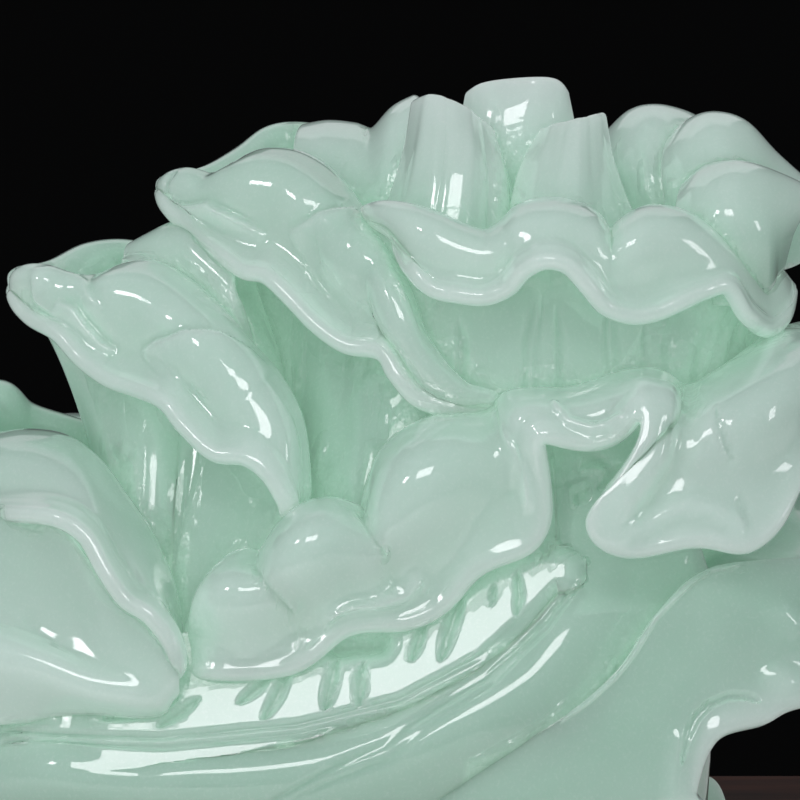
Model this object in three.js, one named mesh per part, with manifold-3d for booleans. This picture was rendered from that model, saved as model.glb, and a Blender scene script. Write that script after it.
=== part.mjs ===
// Carved pale green jade cabbage with rolled leaves, standing loose on a fitted hardwood stand.
// Millimetres, +Z up, the front at -Y. Origin: middle of the whole object's footprint, on the table.
import * as THREE from 'three';
import * as BufferGeometryUtils from 'three/addons/utils/BufferGeometryUtils.js';
import Module from 'manifold-3d';

const wasm = await Module();
wasm.setup();

// The leaf tables are read on a flat view of the carving from slightly above its front, which is
// VIEW_WIDTH wide. A place is across, down and deep: across and down in VIEW_STEPS of that width
// from the view's upper left corner, deep in DEPTH_STEPS of it, minus towards the front.
const VIEW_WIDTH = 240;
const VIEW_STEPS = 800;
const DEPTH_STEPS = 240;
const EYE_DISTANCE_SHARE = 3.75;
const EYE_PITCH = THREE.MathUtils.degToRad(12);
const VIEW_CENTRE_SHARE = 0.6608;     // height of the view's middle above the stand
const CARVING_SHIFT_X = 15;           // centres the whole object over the origin

// Leaf sheets
const GAP = 0.3;                    // clear space wherever one piece is fitted to another
const RIM_THICKNESS = 5;            // rolled edge of the outer leaves
const CREST_THICKNESS = 5.5;        // top of the roll
const ROOT_THICKNESS = 14;          // where a leaf leaves the heart block
const YOUNG_TIP_THICKNESS = 3;      // the young leaves round the heart are thinner
const YOUNG_BLADE_THICKNESS = 4;
const YOUNG_MIDDLE_THICKNESS = 6;
const YOUNG_FOOT_THICKNESS = 10;
const LIP_THICKNESS = 6;            // the low lip that fills the cup of the low left leaf
const MARGIN_THICKNESS = 8;         // the broad outer leaves: upper margin, rib, lower margin
const RIB_THICKNESS = 12;
const LOWER_BLADE_THICKNESS = 10;
const LOBE_THICKNESS = 7;
const END_THINNING_SHARE = 0.4;     // thickness left at the side ends of a leaf
const LOBE = [YOUNG_BLADE_THICKNESS, LOBE_THICKNESS, LOBE_THICKNESS, RIM_THICKNESS];
const RIBBED = [
  MARGIN_THICKNESS, MARGIN_THICKNESS, MARGIN_THICKNESS,
  RIB_THICKNESS, LOWER_BLADE_THICKNESS, RIB_THICKNESS,
];
const MATURE = [RIM_THICKNESS, CREST_THICKNESS, ROOT_THICKNESS];
const YOUNG = [
  YOUNG_FOOT_THICKNESS, YOUNG_MIDDLE_THICKNESS, YOUNG_BLADE_THICKNESS, YOUNG_TIP_THICKNESS,
];
const SWELLING = [
  YOUNG_FOOT_THICKNESS, YOUNG_MIDDLE_THICKNESS, RIM_THICKNESS, RIM_THICKNESS, RIM_THICKNESS,
];
const LIP = [LIP_THICKNESS, LIP_THICKNESS];

// How a leaf's wall and roll bend, as shares of the wall's rise and of the roll's width
const WALL_RISE_SHARE = 0.3;
const WALL_FLARE_SHARE = 0.14;
const CREST_DIP_SHARE = 0.12;
const CREST_BACK_SHARE = 0.35;
const RIM_PULL_SHARE = 0.45;

// Root end and base
const ROOT_STUB_RADIUS = 21;
const ROOT_STUB_LENGTH = 15;
const ROOT_STUB_ROUND = 5;
const ROOT_STUB_PLACE_SHARES = [-0.817, 0, 0.142];
const BASE_HEIGHT = 15;
const BASE_HALF_LENGTH_SHARE = 0.608;
const BASE_HALF_DEPTH_SHARE = 0.333;
const BASE_CENTRE_SHARE = -0.092;
const BASE_SPREAD_SHARES = [[0, 0.93], [0.25, 1], [0.7, 1], [1, 0.88]];   // up the edge
const BASE_RUFFLE = 3.5;

// Far side: each near leaf is repeated mirrored, lower and further in by these
const FAR_MIDDLE_DROP = 10;
const FAR_MIDDLE_SHIFT = 4;
const FAR_CROWN_DROP = 16;
const FAR_SHOULDER_DROP = 34;
const FAR_SHOULDER_SHIFT = 8;
const FAR_SIDE_DROP = 56;
const FAR_LOW_DROP = 16;
const FAR_OUTER_DROP = 8;
const FAR_OUTER_SHIFT = 7;
const FAR_STEPS_SHARE = 0.5;
const FAR_BROAD_STEPS_SHARE = 0.6;

// Wooden stand
const STAND_HEIGHT = 35;
const STAND_LENGTH = 338;
const STAND_DEPTH = 236;
const STAND_CENTRE_X = -17;
const TOP_THICKNESS = 8;
const TOP_EDGE_ROUND = 2.5;
const TOP_CORNER_RADIUS = 14;
const WAIST_HEIGHT = 5;
const WAIST_INSET = 9;
const APRON_HEIGHT = 12;
const APRON_THICKNESS = 10;
const APRON_INSET = 4;
const APRON_SCALLOP = 5;
const APRON_FACE_INSET = 1.5;       // how far the aprons stand back from the feet
const FOOT_SPREAD = 34;             // length of each wing of a corner foot
const FOOT_TOE = 16;
const FOOT_BULGE = 3;
const PAD_THICKNESS = 2;
const PAD_RADIUS = 6;
const FOOT_HEIGHT = STAND_HEIGHT - TOP_THICKNESS - WAIST_HEIGHT - PAD_THICKNESS;

// Steps of the faceted surfaces
const WALL_STEPS = 2;
const ROLL_STEPS = 4;
const BROAD_STEPS = 2;
const LOBE_SEGMENTS = 12;
const RIM_TURNS = [Math.PI / 2];
const BASE_SEGMENTS = 36;
const BASE_RUFFLES = 9;
const PAD_SEGMENTS = 16;

const SHOULDER_LEFT_SHARES = [
  [[272, 400, 2], [160, 184, 4], [156, 192, 0]],
  [[278, 420, -6], [188, 176, 0], [172, 212, -8]],
  [[288, 440, -16], [215, 181, -2], [196, 236, -16]],
  [[298, 460, -26], [240, 169, -2], [222, 256, -24]],
  [[308, 480, -36], [265, 157, -2], [244, 271, -30]],
  [[318, 500, -46], [292, 158, -4], [266, 276, -34]],
  [[328, 515, -54], [318, 170, -8], [290, 298, -40]],
  [[340, 525, -60], [340, 190, -12], [315, 324, -46]],
  [[352, 528, -64], [358, 215, -20], [345, 345, -52]],
  [[366, 522, -67], [380, 240, -30], [380, 352, -56]],
  [[382, 508, -66], [398, 275, -42], [396, 375, -60]],
  [[398, 490, -63], [420, 340, -54], [420, 400, -62]],
  [[425, 472, -60], [460, 388, -58], [462, 413, -62]],
  [[460, 455, -57], [500, 398, -58], [492, 409, -60]],
];
const SHOULDER_BACK_LEFT_SHARES = [
  [[290, 330, 14], [160, 184, 4], [156, 194, 4]],
  [[300, 310, 18], [205, 176, 12], [198, 190, 18]],
  [[310, 300, 22], [240, 157, 22], [236, 176, 34]],
  [[320, 290, 26], [268, 136, 32], [268, 160, 46]],
  [[335, 280, 30], [295, 131, 38], [300, 155, 52]],
  [[350, 275, 32], [325, 136, 42], [335, 160, 56]],
  [[365, 272, 32], [350, 150, 44], [362, 176, 58]],
];
const INNER_LEFT_SHARES = [
  [[230, 380, 0], [130, 253, -2], [126, 262, -2]],
  [[240, 390, -4], [150, 242, -4], [142, 270, -12]],
  [[250, 400, -8], [175, 230, -6], [165, 290, -20]],
  [[262, 410, -14], [195, 228, -8], [195, 330, -26]],
  [[275, 420, -20], [215, 245, -12], [225, 360, -32]],
  [[290, 425, -26], [240, 270, -18], [255, 390, -38]],
];
const SIDE_LEFT_SHARES = [
  [[110, 450, -14], [14, 276, -16], [8, 292, -18]],
  [[116, 475, -22], [42, 272, -18], [30, 317, -24]],
  [[122, 500, -30], [72, 281, -20], [58, 334, -32]],
  [[130, 530, -40], [100, 282, -20], [82, 360, -38]],
  [[140, 560, -50], [128, 271, -20], [108, 379, -44]],
  [[150, 590, -58], [155, 269, -20], [136, 389, -50]],
  [[162, 620, -66], [185, 285, -24], [164, 402, -58]],
  [[176, 645, -72], [215, 312, -32], [186, 428, -64]],
  [[190, 650, -76], [243, 345, -42], [214, 453, -70]],
  [[208, 635, -73], [272, 378, -50], [246, 458, -73]],
  [[230, 612, -70], [292, 416, -56], [268, 474, -75]],
  [[255, 590, -69], [299, 465, -62], [284, 500, -77]],
  [[285, 565, -68], [299, 505, -68], [290, 520, -78]],
];
const SIDE_BACK_LEFT_SHARES = [
  [[160, 430, 0], [14, 276, -14], [8, 292, -14]],
  [[170, 420, 4], [52, 270, -8], [46, 284, 0]],
  [[180, 410, 8], [88, 253, 2], [84, 272, 14]],
  [[190, 400, 12], [125, 249, 10], [124, 272, 22]],
  [[200, 400, 14], [160, 259, 14], [164, 282, 26]],
  [[215, 400, 14], [195, 285, 14], [204, 306, 26]],
  [[230, 400, 12], [230, 318, 10], [242, 340, 20]],
];
const LOW_LEFT_SHARES = [
  [[60, 640, 0], [-120, 470, -30], [-130, 490, -34]],
  [[60, 640, -20], [-90, 450, -34], [-104, 505, -50]],
  [[60, 640, -30], [-50, 444, -40], [-60, 515, -60]],
  [[70, 640, -40], [-10, 442, -42], [-20, 514, -72]],
  [[80, 645, -46], [25, 438, -44], [15, 514, -80]],
  [[90, 650, -52], [62, 443, -46], [55, 518, -86]],
  [[100, 655, -56], [92, 464, -52], [85, 536, -90]],
  [[110, 660, -60], [120, 502, -58], [106, 572, -95]],
  [[120, 665, -64], [142, 535, -64], [126, 600, -98]],
  [[130, 670, -68], [158, 570, -70], [150, 616, -101]],
  [[140, 675, -72], [168, 605, -76], [171, 645, -103]],
  [[140, 685, -76], [174, 650, -84], [178, 680, -104]],
];
const LOW_BACK_LEFT_SHARES = [
  [[60, 600, 0], [-120, 440, -26], [-126, 450, -22]],
  [[70, 590, 2], [-60, 400, -14], [-62, 420, -4]],
  [[80, 580, 4], [0, 381, -6], [0, 402, 6]],
  [[95, 570, 6], [28, 398, -2], [30, 420, 10]],
  [[110, 560, 6], [65, 416, 0], [68, 440, 12]],
  [[130, 550, 6], [100, 424, 2], [105, 445, 12]],
];
const CROWN_FRONT_SHARES = [
  [[400, 380, -30], [360, 212, -28], [366, 222, -34]],
  [[420, 390, -36], [385, 209, -38], [392, 236, -46]],
  [[440, 400, -42], [410, 212, -43], [410, 268, -56]],
  [[455, 405, -43], [435, 220, -46], [432, 289, -61]],
  [[470, 410, -44], [460, 231, -48], [458, 295, -64]],
  [[490, 412, -45], [485, 238, -50], [485, 297, -65]],
  [[508, 412, -46], [505, 228, -49], [508, 288, -66]],
  [[530, 412, -46], [522, 212, -47], [524, 271, -68]],
  [[550, 412, -46], [545, 206, -45], [545, 261, -70]],
  [[565, 412, -46], [568, 208, -45], [568, 266, -70]],
  [[585, 412, -46], [590, 217, -46], [588, 287, -70]],
  [[605, 412, -45], [610, 238, -48], [606, 307, -68]],
  [[625, 412, -44], [628, 224, -48], [632, 316, -66]],
  [[645, 410, -42], [648, 214, -45], [655, 313, -64]],
  [[670, 408, -38], [675, 216, -42], [682, 302, -62]],
  [[695, 400, -32], [702, 229, -40], [707, 291, -58]],
  [[715, 390, -26], [726, 247, -36], [728, 288, -54]],
  [[725, 385, -22], [742, 266, -32], [746, 315, -50]],
  [[735, 375, -16], [752, 276, -26], [768, 330, -42]],
  [[745, 370, -10], [762, 266, -18], [788, 316, -32]],
  [[745, 360, -2], [768, 262, -8], [797, 290, -18]],
];
const MIDDLE_FRONT_SHARES = [
  [[215, 640, -60], [215, 575, -76], [184, 640, -88]],
  [[230, 640, -60], [228, 562, -76], [186, 672, -92]],
  [[250, 635, -60], [250, 556, -78], [212, 671, -95]],
  [[270, 630, -60], [262, 562, -82], [240, 673, -97]],
  [[285, 620, -60], [272, 548, -82], [275, 670, -98]],
  [[300, 610, -60], [290, 522, -80], [300, 664, -99]],
  [[320, 600, -60], [320, 505, -78], [322, 648, -100]],
  [[340, 590, -60], [345, 508, -78], [345, 633, -101]],
  [[360, 575, -60], [366, 520, -80], [372, 631, -101]],
  [[375, 565, -58], [375, 500, -76], [400, 631, -101]],
  [[390, 550, -58], [382, 465, -70], [425, 617, -101]],
  [[410, 540, -56], [405, 440, -66], [450, 602, -101]],
  [[430, 530, -56], [435, 425, -62], [470, 572, -101]],
  [[450, 520, -54], [462, 418, -58], [498, 557, -100]],
  [[470, 510, -54], [485, 414, -56], [530, 548, -99]],
  [[485, 500, -54], [498, 410, -56], [545, 520, -97]],
  [[495, 495, -54], [506, 406, -58], [545, 495, -95]],
  [[505, 490, -54], [512, 402, -60], [542, 468, -93]],
  [[515, 480, -54], [520, 398, -62], [536, 442, -91]],
  [[530, 475, -54], [534, 396, -62], [543, 434, -89]],
  [[550, 470, -54], [552, 397, -62], [560, 439, -88]],
  [[570, 465, -54], [575, 396, -62], [588, 444, -88]],
  [[590, 460, -54], [598, 388, -60], [612, 439, -87]],
  [[610, 455, -52], [620, 380, -58], [631, 423, -85]],
  [[630, 455, -50], [642, 376, -56], [641, 411, -82]],
  [[645, 460, -50], [660, 378, -56], [640, 436, -84]],
  [[655, 465, -50], [672, 388, -56], [625, 468, -87]],
  [[660, 470, -50], [680, 394, -56], [603, 496, -90]],
  [[665, 480, -48], [690, 394, -54], [583, 520, -94]],
  [[670, 485, -46], [702, 390, -52], [596, 548, -96]],
  [[680, 485, -44], [714, 382, -50], [634, 561, -97]],
  [[690, 480, -40], [728, 374, -48], [676, 548, -96]],
  [[700, 475, -36], [742, 364, -44], [710, 544, -95]],
  [[715, 470, -32], [758, 352, -40], [740, 555, -94]],
  [[730, 465, -26], [775, 340, -34], [768, 536, -90]],
  [[740, 460, -20], [795, 332, -26], [792, 505, -84]],
  [[750, 455, -12], [815, 328, -16], [805, 470, -74]],
  [[755, 450, -4], [830, 330, -6], [820, 440, -60]],
  [[760, 445, 4], [840, 335, 4], [835, 410, -40]],
];
const LOW_LIP_SHARES = [
  [[-110, 497, -66], [-110, 570, -70], [-110, 612, -76], [-110, 640, -88], [-110, 705, -84]],
  [[-60, 505, -72], [-60, 575, -77], [-60, 618, -84], [-60, 645, -95], [-60, 714, -90]],
  [[-10, 508, -76], [-10, 582, -81], [-10, 625, -89], [-8, 655, -99], [-8, 715, -94]],
  [[35, 510, -78], [38, 590, -85], [40, 640, -92], [42, 667, -102], [45, 711, -97]],
  [[68, 526, -84], [78, 604, -90], [86, 656, -98], [90, 686, -105], [95, 706, -100]],
  [[98, 572, -90], [108, 622, -96], [122, 668, -102], [130, 694, -106], [135, 708, -102]],
  [[132, 608, -96], [142, 640, -100], [152, 676, -104], [156, 698, -105], [158, 706, -102]],
  [[158, 632, -99], [164, 654, -102], [169, 676, -104], [169, 692, -104], [166, 700, -103]],
  [[172, 655, -101], [176, 668, -102], [178, 678, -103], [178, 686, -103], [174, 692, -102]],
];
const HEART_LEFT_SHARES = [
  [[376, 250, -12], [394, 200, -10], [407, 150, -7], [413, 106, -4]],
  [[400, 262, -28], [414, 200, -23], [423, 148, -18], [428, 100, -12]],
  [[430, 268, -37], [440, 205, -32], [446, 150, -25], [446, 102, -16]],
  [[460, 268, -37], [468, 208, -31], [472, 157, -24], [470, 116, -14]],
  [[490, 262, -28], [493, 208, -23], [492, 163, -17], [485, 128, -9]],
  [[516, 250, -14], [510, 212, -10], [504, 178, -6], [497, 147, -2]],
];
const HEART_RIGHT_SHARES = [
  [[508, 262, -22], [514, 210, -19], [523, 166, -14], [541, 134, -8]],
  [[535, 272, -34], [538, 212, -29], [546, 168, -22], [556, 129, -13]],
  [[565, 275, -38], [566, 212, -33], [570, 165, -25], [575, 124, -15]],
  [[600, 270, -33], [595, 212, -28], [591, 163, -20], [590, 120, -12]],
  [[645, 250, -16], [624, 203, -11], [610, 158, -8], [604, 117, -6]],
];
const HEART_BACK_SHARES = [
  [[458, 230, 4], [460, 170, 5], [462, 128, 6], [466, 98, 8]],
  [[488, 238, -6], [487, 168, -4], [486, 122, -1], [486, 87, 4]],
  [[520, 240, -8], [520, 168, -6], [522, 120, -3], [530, 82, 2]],
  [[553, 236, -6], [553, 168, -4], [553, 120, 0], [555, 84, 4]],
  [[576, 226, 4], [575, 172, 5], [573, 132, 6], [566, 96, 8]],
];
const CROWN_BACK_LEFT_SHARES = [
  [[300, 240, 18], [298, 190, 18], [295, 150, 22], [298, 134, 32], [304, 138, 44]],
  [[325, 245, 10], [322, 190, 10], [320, 150, 16], [325, 129, 30], [330, 133, 44]],
  [[350, 250, 4], [348, 195, 4], [347, 155, 12], [352, 131, 27], [356, 137, 42]],
  [[372, 250, 0], [372, 195, 0], [372, 160, 8], [374, 136, 22], [376, 141, 38]],
  [[394, 245, -4], [393, 190, -4], [395, 145, 4], [397, 114, 17], [398, 118, 34]],
  [[420, 240, 0], [418, 180, 0], [418, 130, 6], [421, 101, 17], [424, 108, 32]],
];
const CROWN_BACK_RIGHT_SHARES = [
  [[640, 250, 8], [620, 200, 10], [607, 160, 14], [610, 138, 24], [620, 146, 36]],
  [[650, 260, -2], [638, 200, -2], [628, 150, 6], [632, 118, 20], [640, 126, 34]],
  [[668, 260, -8], [662, 200, -8], [656, 145, 2], [655, 113, 18], [660, 122, 34]],
  [[690, 260, -6], [688, 200, -6], [684, 150, 4], [680, 118, 20], [684, 127, 34]],
  [[716, 250, 4], [714, 200, 4], [710, 160, 8], [702, 128, 22], [702, 135, 34]],
];
const CROWN_RIGHT_INNER_SHARES = [
  [[672, 262, -8], [668, 205, -10], [664, 168, -6], [669, 148, 4], [680, 155, 16]],
  [[700, 270, -18], [694, 205, -20], [689, 158, -14], [692, 127, 0], [698, 132, 16]],
  [[730, 272, -22], [724, 205, -24], [719, 156, -18], [716, 121, -2], [718, 127, 16]],
  [[758, 270, -20], [754, 212, -22], [749, 170, -16], [743, 130, -2], [744, 136, 14]],
  [[784, 262, -12], [782, 220, -14], [778, 190, -10], [772, 160, 0], [770, 160, 12]],
  [[816, 240, -2], [815, 222, -4], [812, 207, -2], [806, 190, 4], [804, 188, 12]],
];
const CROWN_RIGHT_SHARES = [
  [[694, 285, -26], [684, 240, -30], [679, 212, -28], [684, 194, -20], [694, 200, -10]],
  [[714, 295, -34], [704, 245, -39], [699, 205, -35], [704, 175, -22], [712, 182, -8]],
  [[736, 295, -36], [731, 242, -43], [727, 200, -39], [728, 169, -24], [732, 178, -8]],
  [[755, 285, -34], [757, 240, -41], [754, 203, -37], [752, 172, -24], [752, 180, -8]],
  [[762, 270, -28], [772, 238, -34], [779, 208, -31], [779, 182, -20], [775, 187, -8]],
  [[772, 258, -22], [788, 228, -24], [803, 205, -20], [804, 193, -14], [797, 194, -6]],
];
const OUTER_FRONT_SHARES = [
  [
    [-205, 770, -14], [-205, 790, -20], [-205, 808, -25],
    [-205, 828, -29], [-205, 856, -24], [-205, 881, -10],
  ],
  [
    [-130, 735, -36], [-130, 765, -46], [-130, 790, -54],
    [-130, 818, -61], [-130, 860, -52], [-130, 892, -26],
  ],
  [
    [-50, 705, -62], [-50, 740, -70], [-50, 765, -78],
    [-50, 800, -86], [-50, 858, -72], [-50, 900, -38],
  ],
  [[40, 680, -86], [40, 716, -93], [40, 745, -98], [40, 785, -103], [40, 858, -88], [40, 908, -50]],
  [
    [140, 650, -85], [140, 705, -94], [140, 744, -100],
    [140, 788, -107], [140, 862, -96], [140, 912, -56],
  ],
  [
    [240, 620, -79], [240, 688, -90], [240, 737, -98],
    [240, 785, -107], [240, 862, -99], [240, 915, -60],
  ],
  [
    [340, 588, -74], [340, 662, -86], [340, 718, -95],
    [340, 770, -107], [340, 850, -100], [340, 917, -62],
  ],
  [
    [435, 535, -66], [437, 620, -80], [440, 690, -91],
    [440, 745, -106], [440, 835, -98], [440, 917, -62],
  ],
  [
    [505, 450, -57], [512, 550, -69], [520, 640, -84],
    [530, 698, -99], [540, 805, -96], [540, 916, -60],
  ],
  [
    [552, 422, -56], [556, 535, -68], [566, 592, -77],
    [586, 650, -91], [612, 780, -91], [620, 912, -54],
  ],
  [
    [606, 424, -58], [618, 510, -66], [640, 570, -74],
    [660, 640, -84], [672, 760, -82], [668, 905, -44],
  ],
  [
    [660, 440, -54], [680, 500, -61], [705, 560, -68],
    [716, 620, -73], [704, 740, -64], [690, 895, -30],
  ],
];
const OUTER_RIGHT_SHARES = [
  [[395, 806, -106], [430, 830, -109], [470, 870, -104], [500, 900, -90]],
  [[470, 770, -107], [520, 800, -110], [580, 840, -108], [600, 880, -98]],
  [[555, 722, -103], [600, 760, -106], [650, 800, -108], [690, 815, -107]],
  [[615, 672, -98], [650, 710, -101], [680, 750, -104], [694, 782, -107]],
  [[655, 615, -92], [690, 660, -95], [705, 710, -99], [714, 733, -103]],
  [[700, 572, -86], [730, 620, -89], [745, 680, -93], [760, 717, -99]],
  [[760, 562, -77], [790, 610, -81], [800, 660, -87], [800, 700, -93]],
  [[830, 560, -61], [860, 610, -67], [880, 650, -73], [890, 690, -79]],
  [[900, 560, -40], [940, 600, -48], [970, 640, -54], [980, 680, -59]],
];

// The solid heart block under the leaves: centre and half axes of each swelling, in DEPTH_STEPS.
const HEART_LOBE_SHARES = [
  [35, 0, 120, 45, 40, 92],
  [18, 0, 72, 74, 86, 64],
  [25, 0, 128, 70, 72, 46],
  [-50, 0, 92, 60, 62, 52],
  [-92, 0, 62, 60, 70, 44],
  [-132, 0, 42, 62, 50, 34],
];

// The right-hand end of the carving, where a last leaf rolls over.
const END_RIGHT_SHARES = [
  [[640, 640, -50], [740, 560, -52], [830, 600, -62]],
  [[650, 620, -30], [770, 530, -34], [880, 575, -40]],
  [[660, 605, -10], [785, 505, -12], [910, 555, -14]],
  [[660, 590, 10], [785, 490, 12], [905, 540, 14]],
  [[650, 575, 30], [770, 480, 34], [890, 520, 40]],
  [[640, 560, 50], [740, 470, 52], [840, 500, 62]],
];

function place([across, down, deep]) {
  const forward = new THREE.Vector3(0, Math.cos(EYE_PITCH), -Math.sin(EYE_PITCH));
  const upward = new THREE.Vector3(0, Math.sin(EYE_PITCH), Math.cos(EYE_PITCH));
  const distance = VIEW_WIDTH * EYE_DISTANCE_SHARE;
  const step = VIEW_WIDTH / VIEW_STEPS;
  const eye = new THREE.Vector3(0, 0, VIEW_WIDTH * VIEW_CENTRE_SHARE)
    .addScaledVector(forward, -distance);
  const ray = forward.clone().multiplyScalar(distance)
    .addScaledVector(upward, (VIEW_STEPS / 2 - down) * step);
  ray.x += (across - VIEW_STEPS / 2) * step;
  const depth = deep * VIEW_WIDTH / DEPTH_STEPS;
  return eye.addScaledVector(ray, (depth - eye.y) / ray.y);
}

function solidOf(geometry) {
  const bare = geometry.clone();
  for (const name of Object.keys(bare.attributes)) {
    if (name !== 'position') bare.deleteAttribute(name);
  }
  const merged = BufferGeometryUtils.mergeVertices(bare);
  return new wasm.Manifold(new wasm.Mesh({
    numProp: 3,
    vertProperties: new Float32Array(merged.attributes.position.array),
    triVerts: new Uint32Array(merged.index.array),
  }));
}

function geometryOf(solid) {
  const mesh = solid.getMesh();
  const geometry = new THREE.BufferGeometry();
  geometry.setAttribute('position', new THREE.BufferAttribute(mesh.vertProperties, 3));
  geometry.setIndex(new THREE.BufferAttribute(mesh.triVerts, 1));
  geometry.computeVertexNormals();
  return geometry;
}

function largestBody(solid) {
  return solid.decompose().reduce((a, b) => (a.volume() >= b.volume() ? a : b));
}

// Direction from one neighbour of a grid point to the other, one-sided at the borders.
function alongRows(rows, i, j) {
  return rows[Math.min(i + 1, rows.length - 1)][j].clone().sub(rows[Math.max(i - 1, 0)][j]).normalize();
}

function alongColumns(rows, i, j) {
  const row = rows[i];
  return row[Math.min(j + 1, row.length - 1)].clone().sub(row[Math.max(j - 1, 0)]).normalize();
}

// Closed solid round a sheet of points whose columns run from the root to the rim.
// grow is the clear space added all round when the solid trims a neighbour.
function sheetSolid(rows, thicknesses, grow) {
  const lastRow = rows.length - 1;
  const loops = rows.map((row, i) => {
    const thinning = i === 0 || i === lastRow ? END_THINNING_SHARE : 1;
    const push = i === 0 ? -grow : (i === lastRow ? grow : 0);
    const outer = [];
    const inner = [];
    const edge = [];
    row.forEach((point, j) => {
      const u = alongRows(rows, i, j);
      const v = alongColumns(rows, i, j);
      const normal = u.clone().cross(v).normalize();
      const half = thicknesses[j] * thinning / 2 + grow;
      const middle = point.clone().addScaledVector(u, push);
      if (j === 0) middle.addScaledVector(v, -grow);
      outer.push(middle.clone().addScaledVector(normal, half));
      inner.unshift(middle.clone().addScaledVector(normal, -half));
      if (j < row.length - 1) return;
      for (const turn of RIM_TURNS) {
        edge.push(middle.clone().addScaledVector(normal, half * Math.cos(turn))
          .addScaledVector(v, half * Math.sin(turn)));
      }
    });
    return [...outer, ...edge, ...inner];
  });
  return loftSolid(loops);
}

// Skin through closed loops of equal length, with strips across the first and the last.
function loftSolid(loops) {
  const size = loops[0].length;
  const points = loops.flat();
  const faces = [];
  for (let i = 0; i < loops.length - 1; i++) {
    for (let j = 0; j < size; j++) {
      const a = i * size + j;
      const b = i * size + (j + 1) % size;
      faces.push([a, b, b + size], [a, b + size, a + size]);
    }
  }
  for (const [start, atEnd] of [[0, false], [(loops.length - 1) * size, true]]) {
    for (let j = 0; j + 1 <= size - 2 - j; j++) {
      const [a, b, c, d] = [j, j + 1, size - 2 - j, size - 1 - j].map((k) => start + k);
      const strip = b === c ? [[a, b, d]] : [[a, b, c], [a, c, d]];
      for (const face of strip) faces.push(atEnd ? face : face.reverse());
    }
  }
  const volume = faces.reduce(
    (sum, [a, b, c]) => sum + points[a].dot(points[b].clone().cross(points[c])), 0);
  const geometry = new THREE.BufferGeometry().setFromPoints(points);
  geometry.setIndex(faces.flatMap((face) => (volume < 0 ? face.reverse() : face)));
  return solidOf(geometry);
}

function smoothLine(points) {
  return new THREE.CatmullRomCurve3(points, false, 'catmullrom', 0.5);
}

// A rolled leaf: its wall climbs from the root to the crest, rolls over and runs out to the rim.
function rolledLeaf(table, form) {
  const lines = [0, 1, 2].map((k) => smoothLine(table.map((row) => place(row[k]))));
  const droop = THREE.MathUtils.degToRad(form.droop);
  const flare = form.flare ?? WALL_FLARE_SHARE;
  const up = new THREE.Vector3(0, 0, 1);
  const rows = [];
  for (let i = 0; i <= form.steps; i++) {
    const [root, crest, rim] = lines.map((line) => line.getPoint(i / form.steps));
    const out = rim.clone().sub(crest).setZ(0).normalize();
    if (form.facing) {
      out.lerp(new THREE.Vector3(...form.facing, 0).normalize(), form.pull).normalize();
    }
    const span = rim.distanceTo(crest);
    const rise = crest.distanceTo(root);
    const wall = new THREE.CubicBezierCurve3(
      root,
      root.clone().addScaledVector(up, WALL_RISE_SHARE * rise).addScaledVector(out, flare * rise),
      crest.clone().addScaledVector(up, -CREST_DIP_SHARE * rise)
        .addScaledVector(out, -CREST_BACK_SHARE * span),
      crest,
    );
    const rimWay = out.clone().multiplyScalar(Math.cos(droop)).setZ(-Math.sin(droop));
    const roll = new THREE.CubicBezierCurve3(
      crest,
      crest.clone().addScaledVector(out, form.reach * span),
      rim.clone().addScaledVector(rimWay, -RIM_PULL_SHARE * span),
      rim,
    );
    rows.push([...wall.getPoints(WALL_STEPS), ...roll.getPoints(ROLL_STEPS).slice(1)]);
  }
  const [rimSize, crestSize, rootSize] = form.thickness;
  const thicknesses = rows[0].map((_, j) => (j < WALL_STEPS
    ? THREE.MathUtils.lerp(rootSize, crestSize, j / WALL_STEPS)
    : THREE.MathUtils.lerp(crestSize, rimSize, (j - WALL_STEPS) / ROLL_STEPS)));
  return { rows, thicknesses };
}

// A broad leaf: rows of places that run across it, from one margin to the other.
function broadLeaf(table, form) {
  const lines = table[0].map((_, k) => smoothLine(table.map((row) => place(row[k]))));
  const count = BROAD_STEPS * (lines.length - 1);
  const rows = [];
  for (let i = 0; i <= form.steps; i++) {
    rows.push(smoothLine(lines.map((line) => line.getPoint(i / form.steps))).getPoints(count));
  }
  const spans = form.thickness.length - 1;
  const thicknesses = rows[0].map((_, j) => {
    const at = j / count * spans;
    const k = Math.min(Math.floor(at), spans - 1);
    return THREE.MathUtils.lerp(form.thickness[k], form.thickness[k + 1], at - k);
  });
  return { rows, thicknesses };
}

// The far side repeats the near leaves mirrored front to back, a little lower and further in.
function farLeaf(leaf, drop, shift) {
  const rows = leaf.rows.map((row) => row.map(
    (p) => new THREE.Vector3(p.x, shift - p.y, p.z - drop)));
  return { rows, thicknesses: leaf.thicknesses };
}

function ellipsoid([x, y, z, rx, ry, rz], grow) {
  const step = VIEW_WIDTH / DEPTH_STEPS;
  const geometry = new THREE.SphereGeometry(1, LOBE_SEGMENTS, LOBE_SEGMENTS / 2);
  geometry.rotateX(Math.PI / 2);
  geometry.scale(rx * step + grow, ry * step + grow, rz * step + grow);
  geometry.translate(x * step, y * step, z * step);
  return solidOf(geometry);
}

function heartBlock(grow) {
  return HEART_LOBE_SHARES.map((lobe) => ellipsoid(lobe, grow)).reduce((a, b) => a.add(b));
}
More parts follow.
